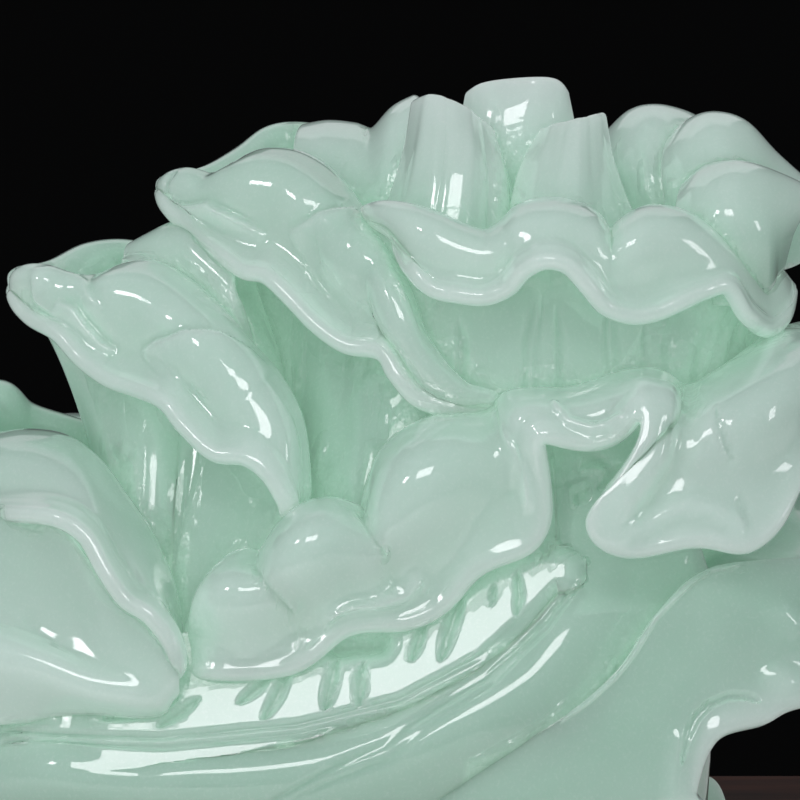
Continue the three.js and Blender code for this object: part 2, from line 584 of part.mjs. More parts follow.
// The broad leaf under everything: a low ruffled pad that carries the carving on the stand.
function baseLeaf(grow) {
  const loops = BASE_SPREAD_SHARES.map(([level, spread], row) => {
    const end = row === 0 ? -grow : (row === BASE_SPREAD_SHARES.length - 1 ? grow : 0);
    const loop = [];
    for (let k = 0; k < BASE_SEGMENTS; k++) {
      const angle = (k + 0.5) / BASE_SEGMENTS * 2 * Math.PI;
      const ruffle = BASE_RUFFLE * Math.cos(BASE_RUFFLES * angle) + grow;
      const halfLength = VIEW_WIDTH * BASE_HALF_LENGTH_SHARE * spread + ruffle;
      const halfDepth = VIEW_WIDTH * BASE_HALF_DEPTH_SHARE * spread + ruffle;
      loop.push(new THREE.Vector3(
        VIEW_WIDTH * BASE_CENTRE_SHARE + halfLength * Math.cos(angle),
        halfDepth * Math.sin(angle),
        BASE_HEIGHT * level + end,
      ));
    }
    return loop;
  });
  return loftSolid(loops);
}

// The cut root end: a short rounded plug lying along X.
function rootStub(grow) {
  const radius = ROOT_STUB_RADIUS + grow;
  const profile = [
    new THREE.Vector2(0, -grow),
    new THREE.Vector2(radius - ROOT_STUB_ROUND, -grow),
    new THREE.Vector2(radius, ROOT_STUB_ROUND - grow),
    new THREE.Vector2(radius, ROOT_STUB_LENGTH + grow),
    new THREE.Vector2(0, ROOT_STUB_LENGTH + grow),
  ];
  const geometry = new THREE.LatheGeometry(profile, LOBE_SEGMENTS);
  geometry.rotateZ(-Math.PI / 2);
  geometry.translate(...ROOT_STUB_PLACE_SHARES.map((share) => share * VIEW_WIDTH));
  return solidOf(geometry);
}

// Rolled and broad leaves, in the order in which each keeps its full form: a later one is trimmed
// by those before it.
const NEAR_LEAVES = {
  middle_leaf_front: {
    table: MIDDLE_FRONT_SHARES, steps: 34, droop: 40, reach: 0.9, facing: [0, -1], pull: 0.7,
  },
  crown_leaf_front: {
    table: CROWN_FRONT_SHARES, steps: 22, droop: 20, reach: 0.75, facing: [0, -1], pull: 0.6,
  },
  shoulder_leaf_left: {
    table: SHOULDER_LEFT_SHARES, steps: 17, droop: 10, reach: 0.6, facing: [-0.5, -0.85], pull: 0.6,
    flare: -0.1,
  },
  side_leaf_left: {
    table: SIDE_LEFT_SHARES, steps: 16, droop: 10, reach: 0.6, facing: [-0.5, -0.85], pull: 0.6,
    flare: -0.14,
  },
  low_leaf_left: {
    table: LOW_LEFT_SHARES, steps: 14, droop: 0, reach: 0.7, facing: [-0.3, -0.95], pull: 0.6,
  },
  low_leaf_lip: { broad: LOW_LIP_SHARES, steps: 9, thickness: LIP },
  heart_leaf_left: { broad: HEART_LEFT_SHARES, steps: 8, thickness: YOUNG },
  heart_leaf_right: { broad: HEART_RIGHT_SHARES, steps: 7, thickness: YOUNG },
  heart_leaf_back: { broad: HEART_BACK_SHARES, steps: 7, thickness: YOUNG },
  crown_leaf_right: { broad: CROWN_RIGHT_SHARES, steps: 8, thickness: SWELLING },
  crown_leaf_right_inner: { broad: CROWN_RIGHT_INNER_SHARES, steps: 7, thickness: SWELLING },
  crown_leaf_back_right: { broad: CROWN_BACK_RIGHT_SHARES, steps: 7, thickness: SWELLING },
  crown_leaf_back_left: { broad: CROWN_BACK_LEFT_SHARES, steps: 9, thickness: SWELLING },
  shoulder_leaf_back_left: { table: SHOULDER_BACK_LEFT_SHARES, steps: 9, droop: 60, reach: 0.6 },
  side_leaf_back_left: { table: SIDE_BACK_LEFT_SHARES, steps: 9, droop: 60, reach: 0.6 },
  low_leaf_back_left: { table: LOW_BACK_LEFT_SHARES, steps: 10, droop: 60, reach: 0.6 },
  inner_leaf_left: {
    table: INNER_LEFT_SHARES, steps: 10, droop: 60, reach: 0.5, facing: [-0.5, -0.85], pull: 0.6,
  },
  end_leaf_right: { table: END_RIGHT_SHARES, steps: 9, droop: 40, reach: 0.6 },
  outer_leaf_right: { broad: OUTER_RIGHT_SHARES, steps: 16, thickness: LOBE },
  outer_leaf_front: { broad: OUTER_FRONT_SHARES, steps: 15, thickness: RIBBED },
};


function standOutline(length, depth, radius) {
  const x = length / 2 - radius;
  const y = depth / 2 - radius;
  const shape = new THREE.Shape();
  shape.absarc(x, -y, radius, -Math.PI / 2, 0, false);
  shape.absarc(x, y, radius, 0, Math.PI / 2, false);
  shape.absarc(-x, y, radius, Math.PI / 2, Math.PI, false);
  shape.absarc(-x, -y, radius, Math.PI, Math.PI * 3 / 2, false);
  return shape;
}

function standTop() {
  const shape = standOutline(
    STAND_LENGTH - 2 * TOP_EDGE_ROUND,
    STAND_DEPTH - 2 * TOP_EDGE_ROUND,
    TOP_CORNER_RADIUS - TOP_EDGE_ROUND,
  );
  const geometry = new THREE.ExtrudeGeometry(shape, {
    depth: TOP_THICKNESS - 2 * TOP_EDGE_ROUND,
    bevelSize: TOP_EDGE_ROUND,
    bevelThickness: TOP_EDGE_ROUND,
    bevelSegments: 2,
    curveSegments: 3,
  });
  geometry.translate(0, 0, TOP_EDGE_ROUND);
  return geometry;
}

function standWaist() {
  const shape = standOutline(
    STAND_LENGTH - 2 * WAIST_INSET,
    STAND_DEPTH - 2 * WAIST_INSET,
    TOP_CORNER_RADIUS - WAIST_INSET / 2,
  );
  return new THREE.ExtrudeGeometry(
    shape, { depth: WAIST_HEIGHT, bevelEnabled: false, curveSegments: 4 });
}

// Apron board: straight above, three shallow arches below, hanging from its top edge.
function apron(length) {
  const shape = new THREE.Shape();
  shape.moveTo(-length / 2, 0);
  shape.lineTo(-length / 2, -APRON_HEIGHT);
  const arch = length / 3;
  for (let k = 0; k < 3; k++) {
    const x = -length / 2 + k * arch;
    shape.quadraticCurveTo(x + arch / 2, -APRON_HEIGHT + 2 * APRON_SCALLOP, x + arch, -APRON_HEIGHT);
  }
  shape.lineTo(length / 2, 0);
  const geometry = new THREE.ExtrudeGeometry(
    shape, { depth: APRON_THICKNESS, bevelEnabled: false, curveSegments: 5 });
  geometry.rotateX(Math.PI / 2);
  return geometry;
}

// Bracket foot: one side profile run along X and along Y, and the body common to both.
function foot() {
  const shape = new THREE.Shape();
  shape.moveTo(0, 0);
  shape.lineTo(FOOT_TOE, 0);
  shape.quadraticCurveTo(FOOT_TOE, FOOT_HEIGHT - APRON_HEIGHT, FOOT_SPREAD, FOOT_HEIGHT - APRON_HEIGHT);
  shape.lineTo(FOOT_SPREAD, FOOT_HEIGHT);
  shape.lineTo(0, FOOT_HEIGHT);
  shape.quadraticCurveTo(2 * FOOT_BULGE, FOOT_HEIGHT / 2, 0, 0);
  const wing = new THREE.ExtrudeGeometry(
    shape, { depth: FOOT_SPREAD, bevelEnabled: false, curveSegments: 6 });
  const alongX = wing.clone().rotateX(Math.PI / 2).translate(0, FOOT_SPREAD, 0);
  const alongY = wing.clone().rotateX(Math.PI / 2).rotateZ(Math.PI / 2);
  return geometryOf(solidOf(alongX).intersect(solidOf(alongY)));
}

const jade = () => new THREE.MeshStandardMaterial({ color: 0xa8cdb5, roughness: 0.08, metalness: 0 });
const rosewood = () => new THREE.MeshStandardMaterial({
  color: 0x3a1710,
  roughness: 0.35,
  metalness: 0,
});
const felt = () => new THREE.MeshStandardMaterial({ color: 0x26382b, roughness: 0.95, metalness: 0 });

function piece(name, geometry, material, parent, at = [0, 0, 0]) {
  const mesh = new THREE.Mesh(geometry, material);
  mesh.name = name;
  mesh.position.set(...at);
  parent.add(mesh);
}

const group = new THREE.Group();
const stand = new THREE.Group();
stand.position.set(CARVING_SHIFT_X + STAND_CENTRE_X, 0, 0);
group.add(stand);
const carving = new THREE.Group();
carving.position.set(CARVING_SHIFT_X, 0, STAND_HEIGHT);
group.add(carving);

// Stand, from the pads up
const footX = STAND_LENGTH / 2 - APRON_INSET;
const footY = STAND_DEPTH / 2 - APRON_INSET;
const corners = [
  ['front_left', -footX, -footY, 0],
  ['front_right', footX, -footY, Math.PI / 2],
  ['rear_right', footX, footY, Math.PI],
  ['rear_left', -footX, footY, -Math.PI / 2],
];
for (const [where, x, y, turn] of corners) {
  const corner = new THREE.Group();
  corner.position.set(x, y, 0);
  corner.rotation.z = turn;
  stand.add(corner);
  const pad = new THREE.CylinderGeometry(PAD_RADIUS, PAD_RADIUS, PAD_THICKNESS, PAD_SEGMENTS);
  pad.rotateX(Math.PI / 2);
  piece(`stand_pad_${where}`, pad, felt(), corner, [FOOT_TOE / 2, FOOT_TOE / 2, PAD_THICKNESS / 2]);
  piece(`stand_foot_${where}`, foot(), rosewood(), corner, [0, 0, PAD_THICKNESS]);
}
const apronTop = PAD_THICKNESS + FOOT_HEIGHT;
const longApron = 2 * (footX - FOOT_SPREAD - GAP);
const shortApron = 2 * (footY - FOOT_SPREAD - GAP);
for (const [where, length, x, y, turn] of [
  ['front', longApron, 0, -footY + APRON_FACE_INSET, 0],
  ['right', shortApron, footX - APRON_FACE_INSET, 0, Math.PI / 2],
  ['rear', longApron, 0, footY - APRON_FACE_INSET, Math.PI],
  ['left', shortApron, -footX + APRON_FACE_INSET, 0, -Math.PI / 2],
]) {
  const side = new THREE.Group();
  side.position.set(x, y, apronTop);
  side.rotation.z = turn;
  stand.add(side);
  piece(`stand_apron_${where}`, apron(length), rosewood(), side, [0, APRON_THICKNESS, 0]);
}
piece('stand_waist', standWaist(), rosewood(), stand, [0, 0, apronTop]);
piece('stand_top', standTop(), rosewood(), stand, [0, 0, apronTop + WAIST_HEIGHT]);

// Carving, from the heart block outwards
const placed = [];

function boxesMeet(a, b) {
  return [0, 1, 2].every((k) => a.min[k] < b.max[k] && b.min[k] < a.max[k]);
}

function trimmed(solid) {
  let rest = solid;
  for (const other of placed) {
    if (boxesMeet(rest.boundingBox(), other.boundingBox())) rest = rest.subtract(other);
  }
  return largestBody(rest);
}

function addLeaf(name, sheet) {
  const solid = trimmed(sheetSolid(sheet.rows, sheet.thicknesses, 0));
  piece(name, geometryOf(solid), jade(), carving);
  placed.push(sheetSolid(sheet.rows, sheet.thicknesses, GAP), solid);
}

piece('heart_block', geometryOf(heartBlock(0)), jade(), carving);
placed.push(heartBlock(GAP));
const base = baseLeaf(0).subtract(placed[0]);
piece('base_leaf', geometryOf(largestBody(base)), jade(), carving);
placed.push(baseLeaf(GAP));
piece('root_stub', geometryOf(largestBody(trimmed(rootStub(0)))), jade(), carving);
placed.push(rootStub(GAP));

function sheetOf(form, steps) {
  if (form.broad) return broadLeaf(form.broad, { ...form, steps });
  return rolledLeaf(form.table, { thickness: MATURE, ...form, steps });
}

for (const [name, form] of Object.entries(NEAR_LEAVES)) addLeaf(name, sheetOf(form, form.steps));

// Far leaf, the near one it repeats, and how much lower and further in it sits
const FAR_LEAVES = [
  ['middle_leaf_rear', 'middle_leaf_front', FAR_MIDDLE_DROP, -FAR_MIDDLE_SHIFT],
  ['crown_leaf_rear', 'crown_leaf_front', FAR_CROWN_DROP, 0],
  ['shoulder_leaf_rear_left', 'shoulder_leaf_left', FAR_SHOULDER_DROP, FAR_SHOULDER_SHIFT],
  ['side_leaf_rear_left', 'side_leaf_left', FAR_SIDE_DROP, 0],
  ['low_leaf_rear_left', 'low_leaf_left', FAR_LOW_DROP, 0],
  ['outer_leaf_rear_right', 'outer_leaf_right', FAR_OUTER_DROP, -FAR_OUTER_SHIFT],
  ['outer_leaf_rear', 'outer_leaf_front', 0, -FAR_OUTER_SHIFT],
];
for (const [name, near, drop, shift] of FAR_LEAVES) {
  const form = NEAR_LEAVES[near];
  const steps = Math.round(form.steps * (form.broad ? FAR_BROAD_STEPS_SHARE : FAR_STEPS_SHARE));
  addLeaf(name, farLeaf(sheetOf(form, steps), drop, shift));
}

export default group;
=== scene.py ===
import bpy
import math
import numpy as np
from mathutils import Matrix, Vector
from mathutils.bvhtree import BVHTree


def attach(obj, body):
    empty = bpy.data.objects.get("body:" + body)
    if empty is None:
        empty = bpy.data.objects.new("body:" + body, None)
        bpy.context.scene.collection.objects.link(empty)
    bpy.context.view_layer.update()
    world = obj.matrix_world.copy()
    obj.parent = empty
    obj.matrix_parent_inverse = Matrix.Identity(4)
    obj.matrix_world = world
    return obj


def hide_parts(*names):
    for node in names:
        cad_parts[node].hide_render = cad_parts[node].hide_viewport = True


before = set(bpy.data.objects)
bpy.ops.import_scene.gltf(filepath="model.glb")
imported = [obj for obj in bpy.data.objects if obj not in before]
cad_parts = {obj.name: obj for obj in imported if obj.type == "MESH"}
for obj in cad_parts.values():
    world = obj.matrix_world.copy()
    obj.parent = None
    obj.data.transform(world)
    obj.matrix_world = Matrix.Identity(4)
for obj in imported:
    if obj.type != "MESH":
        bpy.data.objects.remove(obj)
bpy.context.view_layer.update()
bpy.ops.object.select_all(action="DESELECT")

# Felt pads
# Four small discs of dark green wool felt, punched out and glued under the feet so that the
# stand does not scratch the table.
FELT_DARK = (0.010, 0.022, 0.014, 1)
FELT_LIGHT = (0.035, 0.06, 0.042, 1)
FELT_ROUGHNESS = 0.95
FELT_FIBRES = 900
PAD_PILE = 0.0003


class Wire:
    """A shader socket that can be used in sums."""
    tree = None

    def __init__(self, socket):
        self.socket = socket

    @classmethod
    def feed(cls, made, sockets):
        """Gives sockets of a node, named or numbered, their values or links."""
        for key, value in sockets.items():
            if isinstance(value, Wire):
                cls.tree.links.new(value.socket, made.inputs[key])
            else:
                made.inputs[key].default_value = value

    @classmethod
    def node(cls, kind, settings, sockets, output=0):
        """Adds a node, its settings first, and returns one of its outputs."""
        made = cls.tree.nodes.new(kind)
        for name, value in settings.items():
            if name != "stops":
                setattr(made, name, value)
                continue
            ramp = made.color_ramp.elements
            while len(ramp) < len(value):
                ramp.new(0.5)
            for stop, (place, colour) in zip(ramp, value):
                stop.position = place
                stop.color = colour
        cls.feed(made, sockets)
        return Wire(made.outputs[output])

    @staticmethod
    def maths(operation, first, second):
        return Wire.node("ShaderNodeMath", {"operation": operation}, {0: first, 1: second})

    def __add__(self, other):
        return Wire.maths("ADD", self, other)

    def __radd__(self, other):
        return Wire.maths("ADD", other, self)

    def __sub__(self, other):
        return Wire.maths("SUBTRACT", self, other)

    def __rsub__(self, other):
        return Wire.maths("SUBTRACT", other, self)

    def __mul__(self, other):
        return Wire.maths("MULTIPLY", self, other)

    def __rmul__(self, other):
        return Wire.maths("MULTIPLY", other, self)

    def clamped(self):
        return Wire.node("ShaderNodeClamp", {}, {0: self})


def start_material(name):
    made = bpy.data.materials.new(name)
    made.use_nodes = True
    Wire.tree = made.node_tree
    return made, made.node_tree.nodes["Principled BSDF"]


def object_place():
    return Wire.node("ShaderNodeTexCoord", {}, {}, "Object")


def noise(where, scale, detail, roughness):
    sockets = {"Vector": where, "Scale": scale, "Detail": detail, "Roughness": roughness}
    return Wire.node("ShaderNodeTexNoise", {}, sockets)


def mixed(factor, first, second):
    sockets = {0: factor, 6: first, 7: second}
    return Wire.node("ShaderNodeMix", {"data_type": "RGBA"}, sockets, 2)


def bumped(height, strength, distance, below=None):
    sockets = {"Height": height, "Strength": strength, "Distance": distance}
    if below:
        sockets["Normal"] = below
    return Wire.node("ShaderNodeBump", {}, sockets)


felt, shader = start_material("green_felt")
fuzz = noise(object_place(), FELT_FIBRES, 4, 0.7)
Wire.feed(shader, {
    "Base Color": mixed(fuzz, FELT_DARK, FELT_LIGHT),
    "Roughness": FELT_ROUGHNESS,
    "Normal": bumped(fuzz, 0.6, PAD_PILE),
})
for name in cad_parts:
    if name.startswith("stand_pad"):
        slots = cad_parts[name].data.materials
        slots.clear()
        slots.append(felt)

# Stand
# A low table of dark red-brown hardwood: bracket feet, aprons, a set-back waist and a top board
# with a rounded edge, glued and pegged at the corners, then waxed.
EASED_EDGE = 0.0008
EASED_STEPS = 3
EASED_FROM = math.radians(28)
WOOD_DARK = (0.016, 0.005, 0.003, 1)
WOOD_BODY = (0.062, 0.017, 0.009, 1)
WOOD_LIGHT = (0.135, 0.038, 0.018, 1)
GRAIN_FLOW = (4, 60, 60)
GRAIN_PORES = (12, 420, 420)
PORE_DEPTH = 0.0003
WAX_SHARE = 0.1
WAX_ROUGHNESS = 0.12

wood, shader = start_material("waxed_rosewood")
place_on = object_place()
along = Wire.node("ShaderNodeMapping", {}, {"Vector": place_on, "Scale": GRAIN_FLOW})
across = Wire.node("ShaderNodeMapping", {}, {"Vector": place_on, "Scale": GRAIN_PORES})
flow = noise(along, 1.6, 6, 0.6)
streak = noise(across, 1.0, 3, 0.6)
grain = (flow * 0.7 + streak * 0.3).clamped()
stops = [(0.30, WOOD_DARK), (0.5, WOOD_BODY), (0.68, WOOD_LIGHT)]
Wire.feed(shader, {
    "Base Color": Wire.node("ShaderNodeValToRGB", {"stops": stops}, {0: grain}),
    "Roughness": 0.42 - grain * 0.22,
    "Coat Weight": WAX_SHARE,
    "Coat Roughness": WAX_ROUGHNESS,
    "Normal": bumped(streak, 0.25, PORE_DEPTH),
})


def pick(made):
    """Leaves one object selected and active."""
    bpy.ops.object.select_all(action="DESELECT")
    bpy.context.view_layer.objects.active = made
    made.select_set(True)


def dress(made, name, material, body):
    """Hands a finished mesh its material, body and slot, and lets it stand for its CAD node."""
    made.name = name + "_fine"
    made.data.materials.clear()
    made.data.materials.append(material)
    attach(made, body)
    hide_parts(name)


for name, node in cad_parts.items():
    if not name.startswith("stand_") or name.startswith("stand_pad"):
        continue
    copy = node.copy()
    copy.data = node.data.copy()
    bpy.context.scene.collection.objects.link(copy)
    copy.parent = None
    copy.matrix_world = node.matrix_world
    pick(copy)
    bpy.ops.object.mode_set(mode="EDIT")
    bpy.ops.mesh.select_all(action="SELECT")
    bpy.ops.mesh.remove_doubles(threshold=0.00001)
    bpy.ops.mesh.dissolve_limited(angle_limit=math.radians(1))
    bpy.ops.object.mode_set(mode="OBJECT")
    rounded = copy.modifiers.new("eased_edges", "BEVEL")
    rounded.width = EASED_EDGE
    rounded.segments = EASED_STEPS
    rounded.limit_method = "ANGLE"
    rounded.angle_limit = EASED_FROM
    bpy.ops.object.modifier_apply(modifier="eased_edges")
    bpy.ops.object.shade_smooth_by_angle(angle=math.radians(35))
    dress(copy, name, wood, "stand")

# Heart block
# The solid middle of the carving, one block of pale green jade that every leaf is cut from;
# it shows only in the hollows between the leaves, painted all over with the deep green hollow shade and glow.
STAND_HEIGHT = 0.035
CARVING_SHIFT = Vector((0.015, 0, STAND_HEIGHT))
HEART_SWELLINGS = [
    (0.035, 0, 0.120, 0.045, 0.040, 0.092),
    (0.018, 0, 0.072, 0.074, 0.086, 0.064),
    (0.025, 0, 0.128, 0.070, 0.072, 0.046),
    (-0.050, 0, 0.092, 0.060, 0.062, 0.052),
    (-0.092, 0, 0.062, 0.060, 0.070, 0.044),
    (-0.132, 0, 0.042, 0.062, 0.050, 0.034),
]
HEART_SKIN_STEP = 0.003
HEART_POLISH_PASSES = 12
JADE_BODY = (0.40, 0.60, 0.49, 1)
# Painted shade: a darker, greener body colour for points closed in by other leaves.
JADE_HOLLOW_SHADE = (0.30, 0.50, 0.39, 1)
# Painted light: a paler colour for thin rims and for walls in shade, standing in for light through the stone.
JADE_PAINTED_PALE = (0.57, 0.72, 0.65, 1)
JADE_CLOUD = (0.70, 0.82, 0.74, 1)
JADE_FLECK = (0.80, 0.88, 0.82, 1)
# Painted light: emission that makes rims and hollows glow, standing in for light scattered through the stone.
NO_PAINTED_GLOW = (0, 0, 0, 1)
PAINTED_RIM_GLOW = (0.14, 0.17, 0.155, 1)
PAINTED_HOLLOW_GLOW = (0.29, 0.44, 0.35, 1)
PAINTED_GLOW_STRENGTH = 0.36
CLOUD_SCALE = 22
FLECK_SCALE = 1100
RIPPLE_SCALE = 60
RIPPLE_DEPTH = 0.001
CHISEL_SCALE = 330
CHISEL_DEPTH = 0.0016
WORKED_SCALE = 42
BITE_SCALE = 190
BITE_DEPTH = 0.0045
POLISH_ROUGHNESS = 0.07
ROUGH_CUT = 0.22
JADE_REFRACTION = 1.66
JADE_CLEAR_DEPTH = 0.02


def vertex_value(name):
    return Wire.node("ShaderNodeAttribute", {"attribute_name": name}, {}, "Fac")


jade, shader = start_material("pale_jade")
place_on = object_place()
rim = vertex_value("thin")
hollow = vertex_value("deep")
cloud = noise(place_on, CLOUD_SCALE, 3, 0.55)
fleck = noise(place_on, FLECK_SCALE, 2, 0.6)
# Painted shade: the colour turns darker and greener where a point is closed in.
body = mixed(hollow.clamped(), JADE_BODY, JADE_HOLLOW_SHADE)
# Painted light: paler where the paleness value says so, at rims and on shaded walls.
body = mixed((rim * 0.8).clamped(), body, JADE_PAINTED_PALE)
body = mixed(((cloud - 0.45) * 1.2).clamped() * 0.25, body, JADE_CLOUD)
body = mixed(((fleck - 0.52) * 3).clamped() * 0.20, body, JADE_FLECK)
# Painted light: a glow at thin rims and in closed-in hollows.
painted_glow = mixed(rim.clamped(), NO_PAINTED_GLOW, PAINTED_RIM_GLOW)
painted_glow = mixed((hollow * 1.4).clamped(), painted_glow, PAINTED_HOLLOW_GLOW)
rough_cut = (hollow * 2 - 0.7).clamped()
worked = ((noise(place_on, WORKED_SCALE, 1, 0.5) - 0.48) * 9).clamped()
worked = worked * (hollow * 3 - 0.7).clamped()
rippled = bumped(noise(place_on, RIPPLE_SCALE, 2, 0.5), 0.12, RIPPLE_DEPTH)
tooled = bumped(noise(place_on, CHISEL_SCALE, 2, 0.4) * rough_cut, 0.8, CHISEL_DEPTH, rippled)
chipped = bumped(noise(place_on, BITE_SCALE, 1, 0.4) * worked, 1.0, BITE_DEPTH, tooled)
Wire.feed(shader, {
    "Base Color": body,
    "Emission Color": painted_glow,
    "Emission Strength": PAINTED_GLOW_STRENGTH,
    "Roughness": rough_cut * ROUGH_CUT * (1 - worked) + POLISH_ROUGHNESS,
    "IOR": JADE_REFRACTION,
    "Coat Weight": 1,
    "Coat Roughness": 0.03,
    "Subsurface Weight": 1,
    "Subsurface Radius": (1.0, 1.0, 1.0),
    "Subsurface Scale": JADE_CLEAR_DEPTH,
    "Normal": chipped,
})


def stone_values(mesh):
    """Adds how much painted light pales each point (thin) and how closed in the stone is there (deep)."""
    mesh.attributes.new("thin", "FLOAT", "POINT")
    mesh.attributes.new("deep", "FLOAT", "POINT")
    return mesh.attributes["thin"].data, mesh.attributes["deep"].data


bpy.ops.object.select_all(action="DESELECT")
swellings = []
for x, y, z, rx, ry, rz in HEART_SWELLINGS:
    bpy.ops.mesh.primitive_uv_sphere_add(segments=48, ring_count=24, radius=1)
    ball = bpy.context.object
    ball.location = Vector((x, y, z)) + CARVING_SHIFT
    ball.scale = (rx, ry, rz)
    swellings.append(ball)
for ball in swellings:
    ball.select_set(True)
bpy.context.view_layer.objects.active = swellings[0]
bpy.ops.object.join()
heart = bpy.context.object
bpy.ops.object.transform_apply(location=True, rotation=True, scale=True)
skin = heart.modifiers.new("one_body", "REMESH")
skin.mode = "VOXEL"
skin.voxel_size = HEART_SKIN_STEP
bpy.ops.object.modifier_apply(modifier="one_body")
soft = heart.modifiers.new("polish", "SMOOTH")
soft.iterations = HEART_POLISH_PASSES
bpy.ops.object.modifier_apply(modifier="polish")
bpy.ops.object.shade_smooth()
# Painted shade: the whole heart block counts as fully closed in, so it takes the full darker green shade and
# the painted glow.
heart_deep = stone_values(heart.data)[1]
heart_deep.foreach_set("value", np.full(len(heart.data.vertices), 1.0, np.float32))
dress(heart, "heart_block", jade, "carving")

# Rolled leaves
# Each leaf is carved from its root on the heart block up to a crest, then rolls over and runs
# out to a thick rounded rim. All are jade, polished, and part of the one block.
VIEW_WIDTH = 0.240
VIEW_PARTS = 800
DEPTH_PARTS = 240
EYE_DISTANCE = 0.900
EYE_PITCH = math.radians(12)
VIEW_CENTRE_HEIGHT = 0.1586
FORWARD = Vector((0, math.cos(EYE_PITCH), -math.sin(EYE_PITCH)))
UPWARD = Vector((0, math.sin(EYE_PITCH), math.cos(EYE_PITCH)))
EYE = Vector((0, 0, VIEW_CENTRE_HEIGHT)) - FORWARD * EYE_DISTANCE
MATURE = (0.005, 0.0055, 0.014)
WALL_STEPS = 26
ROLL_STEPS = 36
WALL_RISE = 0.3
CREST_DIP = 0.12
CREST_BACK = 0.35
RIM_PULL = 0.45


def placed(across, down, toward):
    part = VIEW_WIDTH / VIEW_PARTS
    ray = FORWARD * EYE_DISTANCE + UPWARD * ((VIEW_PARTS / 2 - down) * part)
    ray.x += (across - VIEW_PARTS / 2) * part
    return np.array(EYE + ray * ((toward * VIEW_WIDTH / DEPTH_PARTS - EYE.y) / ray.y))


def even(count):
    return np.linspace(0, 1, count)


def smooth_line(points, shares):
    """Catmull-Rom curve through points, read at shares of its way from the first to the last."""
    p = np.asarray(points, float)
    spans = len(p) - 1
    padded = np.concatenate([[2 * p[0] - p[1]], p, [2 * p[-1] - p[-2]]])
    at = shares * spans
    i = np.minimum(at.astype(int), spans - 1)
    f = (at - i).reshape((-1,) + (1,) * (p.ndim - 1))
    a, b, c, d = padded[i], padded[i + 1], padded[i + 2], padded[i + 3]
    bend = (2 * a - 5 * b + 4 * c - d) * f * f
    return 0.5 * (2 * b + (c - a) * f + bend + (3 * b - a - 3 * c + d) * f ** 3)


def unit(v):
    return v / np.maximum(np.linalg.norm(v, axis=-1, keepdims=True), 1e-12)


def arc(a, b, c, d, steps):
    t = np.linspace(0, 1, steps)[None, :, None]
    a, b, c, d = (x[:, None, :] for x in (a, b, c, d))
    return a * (1 - t) ** 3 + 3 * b * t * (1 - t) ** 2 + 3 * c * t * t * (1 - t) + d * t ** 3


def along_leaf(value, rows):
    """A setting that may change along a leaf: a number, or pairs of a share and a number."""
    if isinstance(value, (int, float)):
        value = [(0, value), (1, value)]
    return np.interp(even(rows), *np.array(value, float).T)[:, None]


def rolled_sheet(table, droop, reach, facing, pull, flare, rows, rubbed, lean):
    """The sheet through a table of root, crest and rim; rubbed evens its pleats out."""
    stations = np.array([[placed(*p) for p in row] for row in table])
    root, crest, rim = (smooth_line(stations[:, k], even(rows)) for k in range(3))
    out = rim - crest
    out[:, 2] = 0
    out = unit(out)
    if facing:
        out = unit((1 - pull) * out + pull * unit(np.array([*facing, 0.0])))
    span = np.linalg.norm(rim - crest, axis=1, keepdims=True)
    rise = np.linalg.norm(crest - root, axis=1, keepdims=True)
    up = np.array([0, 0, 1.0])
    sideways = np.array([1.0, 0, 0]) * along_leaf(lean, rows)
    droop = np.radians(along_leaf(droop, rows))
    reach = along_leaf(reach, rows)
    rim_way = unit(out * np.cos(droop) - up * np.sin(droop) + sideways)
    foot = root + up * rise * WALL_RISE + out * rise * flare
    neck = crest - out * span * CREST_BACK - up * rise * CREST_DIP
    wall = arc(root, foot, neck, crest, WALL_STEPS)
    roll = arc(crest, crest + out * span * reach, rim - rim_way * span * RIM_PULL, rim, ROLL_STEPS)
    sheet = np.concatenate([wall, roll[:, 1:]], axis=1)
    for _ in range(rubbed):
        sheet[1:-1] = (sheet[:-2] + 2 * sheet[1:-1] + sheet[2:]) / 4
    return sheet, (WALL_STEPS - 1) / (sheet.shape[1] - 1)


def seen_at(points):
    """Where points of the carving lie on the flat view the tables are read from."""
    way = points - np.array(EYE)
    depth = way @ np.array(FORWARD)
    part = VIEW_WIDTH / VIEW_PARTS
    across = VIEW_PARTS / 2 + way[..., 0] * EYE_DISTANCE / depth / part
    down = VIEW_PARTS / 2 - (way @ np.array(UPWARD)) * EYE_DISTANCE / depth / part
    return across, down


CUT_END_FADE = 0.06
THREAD_WIDTH = 10
THREAD_SPREAD = 1.3
FOLD_EDGE = 3
FOLD_SHADOW_WIDTH = 9
FOLD_SHADOW = 0.4


